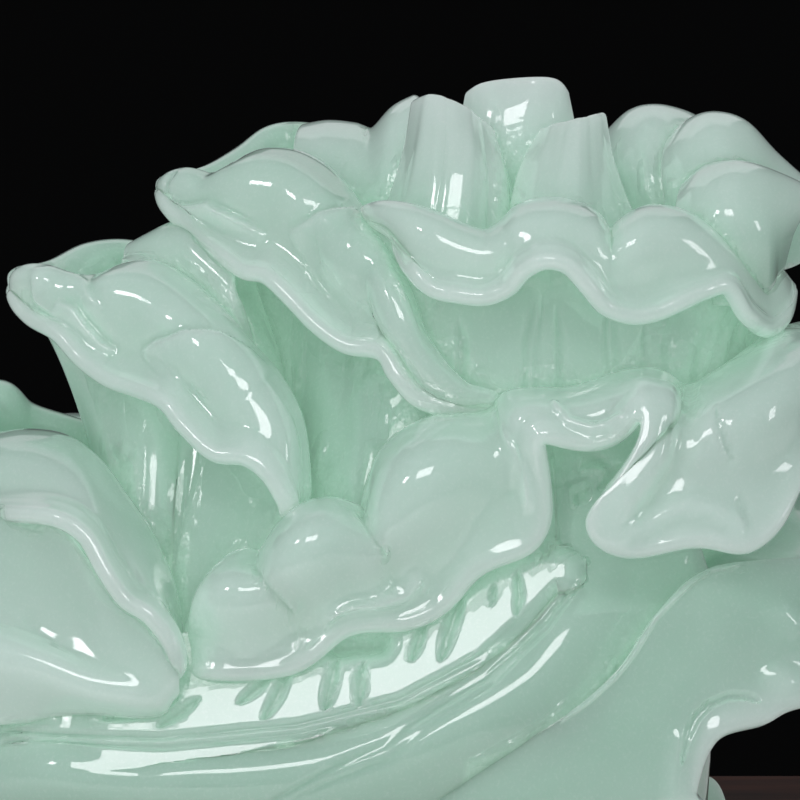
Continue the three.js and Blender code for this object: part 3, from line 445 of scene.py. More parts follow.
def cut_depth(sheet, v, cuts):
    """Depth of the carved lines at each point; a cut is (line, half width, depth, v from, v to).
    A fold adds its step: that much higher on the right of its line, a little lower on the left."""
    across, down = seen_at(sheet)
    total = np.zeros(sheet.shape[:2])
    for line, width, depth, start, end, *step in cuts:
        away = np.full(sheet.shape[:2], 1e9)
        along = np.zeros(sheet.shape[:2])
        side = np.zeros(sheet.shape[:2])
        spots = np.array(line, float)
        for k in range(len(spots) - 1):
            (ax, ay), (bx, by) = spots[k], spots[k + 1]
            length = max((bx - ax) ** 2 + (by - ay) ** 2, 1e-9)
            t = np.clip(((across - ax) * (bx - ax) + (down - ay) * (by - ay)) / length, 0, 1)
            distance = np.hypot(across - ax - t * (bx - ax), down - ay - t * (by - ay))
            beside = ((bx - ax) * (down - ay) - (by - ay) * (across - ax)) / math.sqrt(length)
            along = np.where(distance < away, (k + t) / (len(spots) - 1), along)
            side = np.where(distance < away, np.sign(beside), side)
            away = np.minimum(away, distance)
        inside = np.clip((v - start) / CUT_END_FADE + 0.5, 0, 1)
        inside = inside * np.clip((end - v) / CUT_END_FADE + 0.5, 0, 1)
        if width < THREAD_WIDTH:
            slender = width * (0.3 + 0.7 * np.sin(np.pi * along) ** 0.5)
            total += depth * np.clip(1 - (away / slender / THREAD_SPREAD) ** 2, 0, 1) ** 2 * inside
        else:
            total += depth * np.exp(-(away / width) ** 2) * inside
        if step:
            fade = np.sin(np.pi * np.clip(along, 0.0, 1.0)) ** 0.5
            signed = np.where(side > 0, away, -away)
            high = np.clip(signed / FOLD_EDGE, 0, 1) * np.exp(-(away / width) ** 2)
            low = np.clip(-signed / FOLD_EDGE, 0, 1) * np.exp(-(away / FOLD_SHADOW_WIDTH) ** 2)
            total -= step[0] * (high - FOLD_SHADOW * low) * inside * fade
    return total


END_TAPER = 0.05
END_THINNEST = 0.1
CUT_TURN_AWAY = 5
RIM_TURNS = np.linspace(0, math.pi, 9)[1:-1]
NEAR, FAR = 1, -1  # the far side is the near one mirrored front to back
leaves = []


def face_out(sheet):
    return unit(np.cross(np.gradient(sheet, axis=0), np.gradient(sheet, axis=1)))


def leaf_body(name, sheet, u, v, thickness, paleness, marks, cuts, side=NEAR, drop=0, push=0):
    """Closes a sheet of points into a leaf of varying thickness with a round rim."""
    rows = len(u)
    u = u[:, None]
    v = v[None]
    normal = face_out(sheet)
    for mu, mv, ru, rv, height in marks:
        swell = height * np.exp(-((u - mu) / ru) ** 2 - ((v - mv) / rv) ** 2)
        sheet = sheet + normal * swell[..., None]
    if marks:
        normal = face_out(sheet)
    way = unit(np.gradient(sheet, axis=1))
    ends = np.minimum(np.clip(u / END_TAPER, 0, 1), np.clip((1 - u) / END_TAPER, 0, 1))
    ends = np.sqrt(1 - (1 - ends) ** 2) * (1 - END_THINNEST) + END_THINNEST
    half = (0.5 * thickness * np.ones((rows, 1)) * ends)[..., None]
    last, middle, nose, reach = normal[:, -1], sheet[:, -1], way[:, -1], half[:, -1]
    edge = [middle + reach * (last * math.cos(t) + nose * math.sin(t)) for t in RIM_TURNS]
    edge = np.stack(edge, axis=1)
    outer, inner = sheet + normal * half, sheet - normal * half
    if cuts:
        cut = cut_depth(sheet, v, cuts)[..., None]
        facing = (normal * unit(np.array(EYE) - sheet)).sum(axis=-1, keepdims=True)
        outer = outer - normal * cut * np.clip(facing * CUT_TURN_AWAY, 0, 1)
        inner = inner + normal * cut * np.clip(-facing * CUT_TURN_AWAY, 0, 1)
    loops = np.concatenate([outer, edge, inner[:, ::-1]], axis=1)
    loops = loops * (1, side, 1) + (0, push, -drop) + np.array(CARVING_SHIFT)
    size = loops.shape[1]
    pale = np.concatenate([paleness, np.full(len(RIM_TURNS), paleness[-1]), paleness[::-1]])
    faces = []
    for i in range(rows - 1):
        for j in range(size):
            a, b = i * size + j, i * size + (j + 1) % size
            faces.append((a, b, b + size, a + size))
    for start, turn in ((0, -1), ((rows - 1) * size, 1)):
        for j in range(size // 2 - 1 + size % 2):
            strip = [start + j, start + j + 1, start + size - 2 - j, start + size - 1 - j]
            strip = list(dict.fromkeys(strip))
            if len(strip) > 2:
                faces.append(tuple(strip[::turn]))
    mesh = bpy.data.meshes.new(name)
    mesh.from_pydata(loops.reshape(-1, 3).tolist(), [], faces)
    mesh.validate()
    thin = stone_values(mesh)[0]
    thin.foreach_set("value", np.tile(pale, rows).astype(np.float32))
    made = bpy.data.objects.new(name, mesh)
    bpy.context.scene.collection.objects.link(made)
    pick(made)
    bpy.ops.object.mode_set(mode="EDIT")
    bpy.ops.mesh.select_all(action="SELECT")
    bpy.ops.mesh.normals_make_consistent(inside=False)
    bpy.ops.object.mode_set(mode="OBJECT")
    bpy.ops.object.shade_smooth()
    dress(made, name, jade, "carving")
    leaves.append((made, rows, size))


def rolled_leaf(name, table, droop, reach, facing=None, pull=0.5, flare=0.14, rows=121,
                rubbed=0, lean=0, wall=0, cuts=(), **far):
    """A leaf that rolls over; wall is how much painted light pales the stone below its crest."""
    sheet, crest_at = rolled_sheet(table, droop, reach, facing, pull, flare, rows, rubbed, lean)
    v = even(sheet.shape[1])
    rim, crest, root = MATURE
    places = (0, crest_at, 0.82, 0.93, 1)
    thickness = np.interp(v, places, (root, crest, crest * 0.8, rim * 1.15, rim))
    # Painted light: paleness grows from below the crest to the rim, and wall pales the leaf also where it
    # lies in shade.
    pale_from = crest_at * 0.75
    paleness = wall + (1 - wall) * np.clip((v - pale_from) / (1 - pale_from), 0, 1) ** 0.8
    leaf_body(name, sheet, even(rows), v, thickness, paleness, (), cuts, **far)


MIDDLE_FRONT = [
    [(215, 640, -60), (215, 575, -76), (184, 640, -88)],
    [(230, 640, -60), (228, 562, -76), (186, 672, -92)],
    [(250, 635, -60), (250, 556, -78), (212, 671, -97)],
    [(270, 630, -60), (262, 562, -82), (240, 673, -97)],
    [(285, 620, -60), (272, 548, -82), (275, 670, -97)],
    [(300, 610, -60), (290, 522, -80), (300, 664, -97)],
    [(320, 600, -60), (320, 505, -78), (322, 648, -96)],
    [(340, 590, -60), (345, 508, -78), (345, 627, -94)],
    [(360, 575, -60), (366, 520, -80), (372, 623, -93)],
    [(375, 565, -58), (375, 500, -76), (400, 624, -92)],
    [(390, 550, -58), (382, 465, -70), (425, 617, -91)],
    [(410, 540, -56), (405, 440, -66), (450, 602, -90)],
    [(430, 530, -56), (435, 425, -62), (470, 572, -89)],
    [(450, 520, -54), (462, 418, -58), (498, 557, -88)],
    [(470, 510, -54), (485, 414, -56), (530, 548, -87)],
    [(485, 500, -54), (498, 410, -56), (545, 520, -86)],
    [(495, 495, -54), (506, 406, -58), (545, 495, -85)],
    [(505, 490, -54), (512, 402, -60), (542, 468, -84)],
    [(515, 480, -54), (520, 398, -62), (536, 442, -84)],
    [(530, 475, -54), (534, 396, -62), (543, 434, -84)],
    [(550, 470, -54), (552, 397, -62), (560, 439, -84)],
    [(570, 465, -54), (575, 396, -62), (588, 444, -84)],
    [(590, 460, -54), (598, 388, -60), (612, 439, -83)],
    [(610, 455, -52), (620, 380, -58), (631, 423, -85)],
    [(630, 455, -50), (642, 376, -56), (641, 411, -84)],
    [(645, 460, -50), (660, 378, -56), (642, 436, -88)],
    [(655, 465, -50), (672, 388, -56), (624, 468, -92)],
    [(660, 470, -50), (680, 394, -56), (603, 494, -95)],
    [(665, 480, -48), (690, 394, -54), (589, 515, -98)],
    [(670, 485, -46), (702, 390, -52), (600, 541, -99)],
    [(680, 485, -44), (714, 382, -50), (634, 554, -98)],
    [(690, 480, -40), (728, 374, -48), (676, 541, -96)],
    [(700, 475, -36), (742, 364, -44), (710, 538, -95)],
    [(715, 470, -32), (758, 352, -40), (740, 549, -94)],
    [(730, 465, -26), (775, 340, -34), (768, 536, -90)],
    [(740, 460, -20), (795, 332, -26), (792, 505, -84)],
    [(750, 455, -12), (815, 328, -16), (805, 470, -74)],
    [(755, 450, -4), (830, 330, -6), (820, 440, -60)],
    [(760, 445, 4), (840, 335, 4), (835, 410, -40)],
]
MIDDLE_CUTS = [
    ([(256, 570), (264, 580), (292, 612)], 6, 0.0012, 0.35, 1),
    ([(352, 504), (360, 514), (384, 552)], 6, 0.0012, 0.35, 1),
    ([(256, 570), (292, 612), (300, 630)], 16, 0.0016, 0.4, 1),
    ([(352, 504), (384, 552), (396, 580)], 18, 0.0016, 0.4, 1),
    ([(225, 605), (245, 635)], 26, -0.0016, 0.4, 1),
    ([(310, 545), (330, 585)], 34, -0.0016, 0.4, 1),
    ([(430, 470), (450, 520)], 48, -0.0022, 0.4, 1),
    ([(335, 611), (372, 603), (402, 590), (410, 580)], 12, -0.0030, 0.35, 1),
    ([(363, 513), (373, 532), (387, 552)], 3.5, -0.0008, 0.35, 1),
    ([(266, 577), (279, 592), (294, 608)], 3.5, -0.0008, 0.35, 1),
    ([(513, 405), (512, 440), (523, 470), (536, 500)], 12, -0.0016, 0.4, 0.97),
    ([(486, 430), (492, 460), (505, 490)], 14, 0.0005, 0.4, 0.97),
    ([(552, 411), (568, 425), (590, 434), (612, 431), (630, 420)], 8, -0.0012, 0.4, 1),
    ([(663, 396), (666, 425), (655, 455), (640, 482), (622, 506), (610, 524)], 11, -0.0016, 0.35, 0.97),
    ([(690, 410), (686, 440), (674, 468), (655, 495), (640, 515)], 14, 0.0014, 0.35, 0.97),
    ([(609, 545), (635, 528), (660, 514), (686, 507), (712, 514), (736, 530)], 10, -0.0012, 0.4, 1),
    ([(645, 541), (672, 531), (700, 528), (722, 536)], 8, 0.0006, 0.4, 1),
    ([(716, 416), (722, 438), (730, 462)], 5, 0.0010, 0.35, 1),
    ([(735, 500), (742, 520), (748, 534)], 6, 0.0008, 0.35, 1),
]
MIDDLE_DROOP = [(0, 40), (0.60, 40), (0.65, 60), (0.78, 60), (0.84, 40), (1, 40)]
MIDDLE_REACH = [(0, 0.9), (0.60, 0.9), (0.65, 0.6), (0.78, 0.6), (0.84, 0.9), (1, 0.9)]
MIDDLE_LEAN = [(0.33, 0), (0.38, 0.8), (0.46, 0.8), (0.50, 0), (0.64, 0),
               (0.675, -1), (0.745, -1), (0.77, -0.6), (0.80, -0.1), (0.83, 0)]
MIDDLE_FORM = dict(droop=MIDDLE_DROOP, reach=MIDDLE_REACH, lean=MIDDLE_LEAN,
                   facing=(0, -1), pull=0.7, wall=0.4, cuts=MIDDLE_CUTS)
rolled_leaf("middle_leaf_front", MIDDLE_FRONT, rows=401, rubbed=50, **MIDDLE_FORM)
rolled_leaf("middle_leaf_rear", MIDDLE_FRONT, rows=241, rubbed=18, side=FAR, drop=0.010,
            push=-0.004, **MIDDLE_FORM)

CROWN_FRONT = [
    [(400, 380, -30), (360, 212, -28), (366, 222, -34)],
    [(420, 390, -36), (385, 209, -38), (392, 236, -46)],
    [(440, 400, -42), (410, 212, -43), (410, 268, -56)],
    [(455, 405, -43), (435, 220, -46), (432, 289, -61)],
    [(470, 410, -44), (460, 231, -48), (458, 295, -64)],
    [(490, 412, -45), (485, 238, -50), (485, 297, -65)],
    [(508, 412, -46), (505, 228, -49), (508, 288, -66)],
    [(530, 412, -46), (522, 212, -47), (524, 271, -68)],
    [(550, 412, -46), (545, 206, -45), (545, 261, -70)],
    [(565, 412, -46), (568, 208, -45), (568, 266, -70)],
    [(585, 412, -46), (590, 217, -46), (588, 287, -70)],
    [(605, 412, -45), (610, 238, -48), (606, 307, -68)],
    [(625, 412, -44), (628, 224, -48), (632, 316, -66)],
    [(645, 410, -42), (648, 214, -45), (655, 313, -64)],
    [(670, 408, -38), (675, 216, -42), (682, 302, -62)],
    [(695, 400, -32), (702, 229, -40), (707, 291, -58)],
    [(715, 390, -26), (726, 247, -36), (728, 288, -54)],
    [(725, 385, -22), (742, 266, -32), (746, 315, -50)],
    [(735, 375, -16), (752, 276, -26), (768, 330, -42)],
    [(745, 370, -10), (762, 266, -18), (788, 316, -32)],
    [(745, 360, -2), (768, 262, -8), (797, 290, -18)],
]
FOLD = (0, 0.45)  # from the root of the leaf to below its crest
CROWN_CUTS = [
    ([(462, 322), (468, 345), (466, 378)], 7, 0.0010, *FOLD),
    ([(530, 312), (524, 345), (522, 392)], 6, 0.0008, *FOLD),
    ([(538, 312), (534, 345), (534, 385)], 5, 0.0006, *FOLD),
    ([(556, 318), (558, 350), (560, 396)], 7, 0.0009, *FOLD),
    ([(604, 322), (602, 350), (604, 385)], 5, 0.0007, *FOLD),
    ([(612, 322), (613, 350), (612, 380)], 5, 0.0006, *FOLD),
    ([(636, 326), (634, 350), (636, 376)], 6, 0.0008, *FOLD),
    ([(702, 318), (690, 345), (676, 384)], 6, 0.0008, *FOLD),
    ([(712, 322), (702, 348), (690, 376)], 5, 0.0006, *FOLD),
    ([(726, 322), (718, 345), (706, 372)], 6, 0.0007, *FOLD),
]
CROWN_FORM = dict(droop=20, reach=0.75, facing=(0, -1), pull=0.6, wall=0.55, cuts=CROWN_CUTS)
rolled_leaf("crown_leaf_front", CROWN_FRONT, rows=301, **CROWN_FORM)
rolled_leaf("crown_leaf_rear", CROWN_FRONT, rows=201, side=FAR, drop=0.016, **CROWN_FORM)

SHOULDER_LEFT = [
    [(272, 400, 2), (160, 184, 4), (156, 192, 0)],
    [(278, 420, -6), (188, 176, 0), (172, 212, -8)],
    [(288, 440, -16), (215, 181, -2), (196, 236, -16)],
    [(298, 460, -26), (240, 169, -2), (222, 256, -24)],
    [(308, 480, -36), (265, 157, -2), (244, 271, -30)],
    [(318, 500, -46), (292, 158, -4), (266, 276, -34)],
    [(328, 515, -54), (318, 170, -8), (290, 298, -40)],
    [(340, 525, -60), (340, 190, -12), (315, 324, -46)],
    [(352, 528, -64), (358, 215, -20), (345, 345, -52)],
    [(366, 522, -67), (380, 240, -30), (380, 352, -56)],
    [(382, 508, -66), (398, 275, -42), (396, 375, -60)],
    [(398, 490, -63), (420, 340, -54), (420, 400, -62)],
    [(425, 472, -60), (460, 388, -58), (462, 413, -62)],
    [(460, 455, -57), (500, 398, -58), (492, 409, -60)],
]
SHOULDER_CUTS = [
    ([(178, 203), (190, 206), (215, 204), (245, 219), (272, 236)], 22, 0, 0.45, 1, 0.0022),
    ([(292, 232), (320, 218), (350, 218), (375, 232), (392, 262)], 32, 0, 0.45, 1, 0.0026),
    ([(184, 172), (172, 186), (171, 200), (180, 211)], 3, 0.0008, 0.5, 1),
    ([(235, 190), (275, 180), (315, 195)], 36, -0.0014, 0.5, 1),
    ([(350, 262), (365, 275), (395, 325)], 24, -0.0018, 0.5, 1),
]
CUPPED = dict(droop=10, reach=0.6, facing=(-0.5, -0.85), pull=0.6)
rolled_leaf("shoulder_leaf_left", SHOULDER_LEFT, flare=-0.10, rows=201, cuts=SHOULDER_CUTS, **CUPPED)
rolled_leaf("shoulder_leaf_rear_left", SHOULDER_LEFT, flare=-0.10, side=FAR, drop=0.034, push=0.008, **CUPPED)

SIDE_LEFT = [
    [(110, 450, -14), (14, 276, -16), (8, 292, -18)],
    [(116, 475, -22), (42, 272, -18), (30, 317, -24)],
    [(122, 500, -30), (72, 281, -20), (58, 334, -32)],
    [(130, 530, -40), (100, 282, -20), (82, 360, -38)],
    [(140, 560, -50), (128, 271, -20), (108, 379, -44)],
    [(150, 590, -58), (155, 269, -20), (136, 389, -50)],
    [(162, 620, -58), (185, 285, -24), (164, 402, -58)],
    [(176, 645, -60), (215, 312, -32), (186, 428, -64)],
    [(190, 650, -62), (243, 345, -42), (214, 453, -70)],
    [(208, 635, -60), (272, 378, -50), (246, 458, -73)],
    [(230, 612, -59), (292, 416, -56), (268, 474, -75)],
    [(255, 590, -60), (299, 465, -62), (284, 500, -77)],
    [(285, 565, -62), (299, 505, -68), (290, 520, -78)],
]
SIDE_CUTS = [
    ([(62, 300), (80, 309), (107, 342), (120, 351)], 22, 0, 0.45, 1, 0.0022),
    ([(145, 352), (161, 342), (188, 336), (220, 344), (249, 358), (270, 376)], 34, 0, 0.45, 1, 0.0028),
    ([(60, 320), (40, 301), (32, 276)], 12, 0, 0.45, 1, 0.0016),
    ([(36, 275), (56, 273), (88, 288), (110, 310)], 14, 0, 0.45, 1, 0.0014),
    ([(115, 292), (160, 302), (200, 330)], 34, -0.0012, 0.5, 1),
    ([(200, 375), (235, 395), (264, 435)], 34, -0.0016, 0.5, 1),
]
rolled_leaf("side_leaf_left", SIDE_LEFT, flare=0.02, rows=201, wall=0.4, cuts=SIDE_CUTS, **CUPPED)
rolled_leaf("side_leaf_rear_left", SIDE_LEFT, flare=-0.14, side=FAR, drop=0.056, **CUPPED)

LOW_LEFT = [
    [(60, 640, 0), (-120, 470, -30), (-130, 490, -34)],
    [(60, 640, -20), (-90, 450, -34), (-104, 505, -50)],
    [(60, 640, -30), (-50, 444, -40), (-60, 515, -60)],
    [(70, 640, -40), (-10, 442, -42), (-20, 514, -72)],
    [(80, 645, -46), (25, 438, -44), (15, 514, -80)],
    [(90, 650, -52), (62, 443, -46), (55, 518, -86)],
    [(100, 655, -56), (92, 464, -52), (85, 536, -90)],
    [(110, 660, -60), (120, 502, -58), (106, 572, -95)],
    [(120, 665, -64), (142, 535, -64), (126, 600, -98)],
    [(130, 670, -68), (158, 570, -70), (150, 616, -101)],
    [(140, 675, -72), (168, 605, -76), (171, 645, -103)],
    [(140, 685, -76), (174, 650, -84), (178, 680, -104)],
]
LOW_FORM = dict(droop=0, reach=0.7, facing=(-0.3, -0.95), pull=0.6)
rolled_leaf("low_leaf_left", LOW_LEFT, rows=161, **LOW_FORM)
rolled_leaf("low_leaf_rear_left", LOW_LEFT, side=FAR, drop=0.016, **LOW_FORM)


def broad_sheet(table, u, v):
    grid = np.array([[placed(*p) for p in row] for row in table])
    lines = smooth_line(grid, u)
    return np.swapaxes(smooth_line(np.swapaxes(lines, 0, 1), v), 0, 1)


def broad_leaf(name, table, sizes, paleness, u=even(121), v=even(90), marks=(), cuts=(),
               polish=None, **far):
    """A leaf through rows of places that run across it, from one margin to the other."""
    sheet = broad_sheet(table, u, v)
    if polish:
        sheet = polish(sheet)
    thickness = np.interp(v, even(len(sizes)), sizes)
    # Painted light: the paleness table pales the leaf across its width.
    pale = np.interp(v, even(len(paleness)), paleness)
    leaf_body(name, sheet, u, v, thickness, pale, marks, cuts, **far)


LOW_LIP = [
    [(-110, 497, -66), (-110, 570, -70), (-110, 612, -76), (-110, 640, -88), (-110, 705, -84)],
    [(-60, 505, -72), (-60, 575, -77), (-60, 618, -84), (-60, 645, -95), (-60, 714, -90)],
    [(-10, 508, -76), (-10, 582, -81), (-10, 625, -89), (-8, 655, -99), (-8, 715, -94)],
    [(35, 510, -78), (38, 590, -85), (40, 640, -92), (42, 667, -102), (45, 711, -97)],
    [(68, 526, -84), (78, 604, -90), (86, 656, -98), (90, 686, -105), (95, 706, -100)],
    [(98, 572, -90), (108, 622, -96), (122, 668, -102), (130, 694, -106), (135, 708, -102)],
    [(132, 608, -96), (142, 640, -100), (152, 676, -104), (156, 698, -105), (158, 706, -102)],
    [(158, 632, -99), (164, 654, -102), (168, 674, -104), (167, 690, -104), (160, 700, -103)],
    [(171, 652, -101), (175, 664, -102), (176, 674, -103), (174, 683, -103), (168, 690, -102)],
]
LIP = (0.006, 0.006, 0.006, 0.006, 0.006)
LIP_PALENESS = (0.4, 0.6, 0.9, 1, 1)
broad_leaf("low_leaf_lip", LOW_LIP, LIP, LIP_PALENESS)

TURNED_OVER = dict(droop=60, reach=0.6)
SHOULDER_BACK_LEFT = [
    [(290, 330, 14), (160, 184, 4), (156, 194, 4)],
    [(300, 310, 18), (205, 176, 12), (198, 190, 18)],
    [(310, 300, 22), (240, 157, 22), (236, 176, 34)],
    [(320, 290, 26), (268, 136, 32), (268, 160, 46)],
    [(335, 280, 30), (295, 131, 38), (300, 155, 52)],
    [(350, 275, 32), (325, 136, 42), (335, 160, 56)],
    [(365, 272, 32), (350, 150, 44), (362, 176, 58)],
]
rolled_leaf("shoulder_leaf_back_left", SHOULDER_BACK_LEFT, **TURNED_OVER)

SIDE_BACK_LEFT = [
    [(160, 430, 0), (14, 276, -14), (8, 292, -14)],
    [(170, 420, 4), (52, 270, -8), (46, 284, 0)],
    [(180, 410, 8), (88, 253, 2), (84, 272, 14)],
    [(190, 400, 12), (125, 249, 10), (124, 272, 22)],
    [(200, 400, 14), (160, 259, 14), (164, 282, 26)],
    [(215, 400, 14), (195, 285, 14), (204, 306, 26)],
    [(230, 400, 12), (230, 318, 10), (242, 340, 20)],
]
rolled_leaf("side_leaf_back_left", SIDE_BACK_LEFT, **TURNED_OVER)

LOW_BACK_LEFT = [
    [(60, 600, 0), (-120, 440, -26), (-126, 450, -22)],
    [(70, 590, 2), (-60, 400, -14), (-62, 420, -4)],
    [(80, 580, 4), (0, 390, -6), (0, 411, 6)],
    [(95, 570, 6), (28, 412, -2), (30, 432, 10)],
    [(110, 560, 6), (66, 425, 0), (68, 448, 12)],
    [(130, 550, 6), (102, 435, 2), (106, 455, 12)],
]
rolled_leaf("low_leaf_back_left", LOW_BACK_LEFT, **TURNED_OVER)

INNER_LEFT = [
    [(230, 380, 0), (130, 253, -2), (126, 262, -2)],
    [(240, 390, -4), (150, 242, -4), (142, 270, -12)],
    [(250, 400, -8), (175, 230, -6), (165, 290, -20)],
    [(262, 410, -14), (195, 228, -8), (195, 330, -26)],
    [(275, 420, -20), (215, 245, -12), (225, 360, -32)],
    [(290, 425, -26), (240, 270, -18), (255, 390, -38)],
]
rolled_leaf("inner_leaf_left", INNER_LEFT, droop=60, reach=0.5, facing=(-0.5, -0.85), pull=0.6)

# Heart leaves
# Three young leaves that still stand upright round the middle: thin, pale and pointed blades of
# the same jade, fluted with a round tool and rooted on the heart block.
YOUNG = (0.010, 0.006, 0.004, 0.003)
YOUNG_PALENESS = (0.3, 0.6, 0.9, 1)
HEART_LEFT = [
    [(376, 250, -12), (394, 200, -10), (407, 150, -7), (413, 106, -4)],
    [(400, 262, -28), (414, 200, -23), (423, 148, -18), (428, 100, -12)],
    [(430, 268, -37), (440, 205, -32), (446, 150, -25), (446, 102, -16)],
    [(460, 268, -37), (468, 208, -31), (472, 157, -24), (470, 116, -14)],
    [(490, 262, -28), (493, 208, -23), (492, 163, -17), (485, 128, -9)],
    [(516, 250, -14), (510, 212, -10), (504, 178, -6), (497, 147, -2)],
]
HEART_RIGHT = [
    [(508, 262, -22), (514, 210, -19), (523, 166, -14), (541, 134, -8)],
    [(535, 272, -34), (538, 212, -29), (546, 168, -22), (556, 129, -13)],
    [(565, 275, -38), (566, 212, -33), (570, 165, -25), (575, 124, -15)],
    [(600, 270, -33), (595, 212, -28), (591, 163, -20), (590, 120, -12)],
    [(645, 250, -16), (624, 203, -11), (610, 158, -8), (604, 117, -6)],
]
HEART_BACK = [
    [(458, 230, 4), (460, 170, 5), (462, 128, 6), (466, 98, 8)],
    [(488, 238, -6), (487, 168, -4), (486, 122, -1), (486, 87, 4)],
    [(520, 240, -8), (520, 168, -6), (522, 120, -3), (530, 82, 2)],
    [(553, 236, -6), (553, 168, -4), (553, 120, 0), (555, 84, 4)],
    [(576, 226, 4), (575, 172, 5), (573, 132, 6), (566, 96, 8)],
]
FLUTES = [(0.24, 0.5, 0.05, 0.6, 0.0009), (0.40, 0.5, 0.05, 0.7, -0.0008), (0.55, 0.5, 0.04, 0.6, 0.0007),
          (0.70, 0.5, 0.05, 0.7, -0.0009), (0.84, 0.5, 0.04, 0.6, 0.0008)]
SOFTER = 0.4
SOFT_FLUTES = [(u, v, ru, rv, height * SOFTER) for u, v, ru, rv, height in FLUTES]
broad_leaf("heart_leaf_left", HEART_LEFT, YOUNG, YOUNG_PALENESS, u=even(161), marks=FLUTES)
broad_leaf("heart_leaf_right", HEART_RIGHT, YOUNG, YOUNG_PALENESS, u=even(161), marks=SOFT_FLUTES)
broad_leaf("heart_leaf_back", HEART_BACK, YOUNG, YOUNG_PALENESS)

# Leaves behind and beside the heart
# Older leaves of the same jade that swell up behind the heart and turn over at the back and the
# right, each sunk at its foot into the heart block.
SWELLING = (0.010, 0.006, 0.005, 0.005, 0.005)
SWELLING_PALENESS = (0.1, 0.4, 0.8, 1, 1)
CROWN_BACK_LEFT = [
    [(300, 240, 18), (298, 190, 18), (295, 150, 22), (298, 134, 32), (304, 138, 44)],
    [(325, 245, 10), (322, 190, 10), (320, 150, 16), (325, 129, 30), (330, 133, 44)],
    [(350, 250, 4), (348, 195, 4), (347, 155, 12), (352, 131, 27), (356, 137, 42)],
    [(372, 250, 0), (372, 195, 0), (372, 160, 8), (374, 136, 22), (376, 141, 38)],
    [(394, 245, -4), (393, 190, -4), (395, 145, 4), (397, 114, 17), (398, 118, 34)],
    [(420, 240, 0), (418, 180, 0), (418, 130, 6), (421, 101, 17), (424, 108, 32)],
]
CROWN_BACK_RIGHT = [
    [(640, 250, 8), (620, 200, 10), (607, 160, 14), (610, 138, 24), (620, 146, 36)],
    [(650, 260, -2), (638, 200, -2), (628, 150, 6), (632, 118, 20), (640, 126, 34)],
    [(668, 260, -8), (662, 200, -8), (656, 145, 2), (655, 113, 18), (660, 122, 34)],
    [(690, 260, -6), (688, 200, -6), (684, 150, 4), (680, 118, 20), (684, 127, 34)],
    [(716, 250, 4), (714, 200, 4), (710, 160, 8), (702, 128, 22), (702, 135, 34)],
]
CROWN_RIGHT_INNER = [
    [(672, 262, -8), (668, 205, -10), (664, 168, -6), (669, 148, 4), (680, 155, 16)],
    [(700, 270, -18), (694, 205, -20), (689, 158, -14), (692, 127, 0), (698, 132, 16)],
    [(730, 272, -22), (724, 205, -24), (719, 156, -18), (716, 121, -2), (718, 127, 16)],
    [(758, 270, -20), (754, 212, -22), (749, 170, -16), (743, 130, -2), (744, 136, 14)],
    [(784, 262, -12), (782, 220, -14), (778, 190, -10), (772, 160, 0), (770, 160, 12)],
    [(816, 240, -2), (815, 222, -4), (812, 207, -2), (806, 190, 4), (804, 188, 12)],
]
CROWN_RIGHT = [
    [(694, 285, -26), (684, 240, -30), (679, 212, -28), (684, 194, -20), (694, 200, -10)],
    [(714, 295, -34), (704, 245, -39), (699, 205, -35), (704, 175, -22), (712, 182, -8)],
    [(736, 295, -36), (731, 242, -43), (727, 200, -39), (728, 169, -24), (732, 178, -8)],
    [(755, 285, -34), (757, 240, -41), (754, 203, -37), (752, 172, -24), (752, 180, -8)],
    [(762, 270, -28), (772, 238, -34), (779, 208, -31), (779, 182, -20), (775, 187, -8)],
    [(772, 258, -22), (788, 228, -24), (803, 205, -20), (804, 193, -14), (797, 194, -6)],
]
broad_leaf("crown_leaf_back_left", CROWN_BACK_LEFT, SWELLING, SWELLING_PALENESS)
broad_leaf("crown_leaf_back_right", CROWN_BACK_RIGHT, SWELLING, SWELLING_PALENESS)
broad_leaf("crown_leaf_right_inner", CROWN_RIGHT_INNER, SWELLING, SWELLING_PALENESS)
broad_leaf("crown_leaf_right", CROWN_RIGHT, SWELLING, SWELLING_PALENESS)

END_RIGHT = [
    [(640, 640, -50), (740, 560, -52), (830, 600, -62)],
    [(650, 620, -30), (770, 530, -34), (880, 575, -40)],
    [(660, 605, -10), (785, 505, -12), (910, 555, -14)],
    [(660, 590, 10), (785, 490, 12), (905, 540, 14)],
    [(650, 575, 30), (770, 480, 34), (890, 520, 40)],
    [(640, 560, 50), (740, 470, 52), (840, 500, 62)],
]
rolled_leaf("end_leaf_right", END_RIGHT, droop=40, reach=0.6)

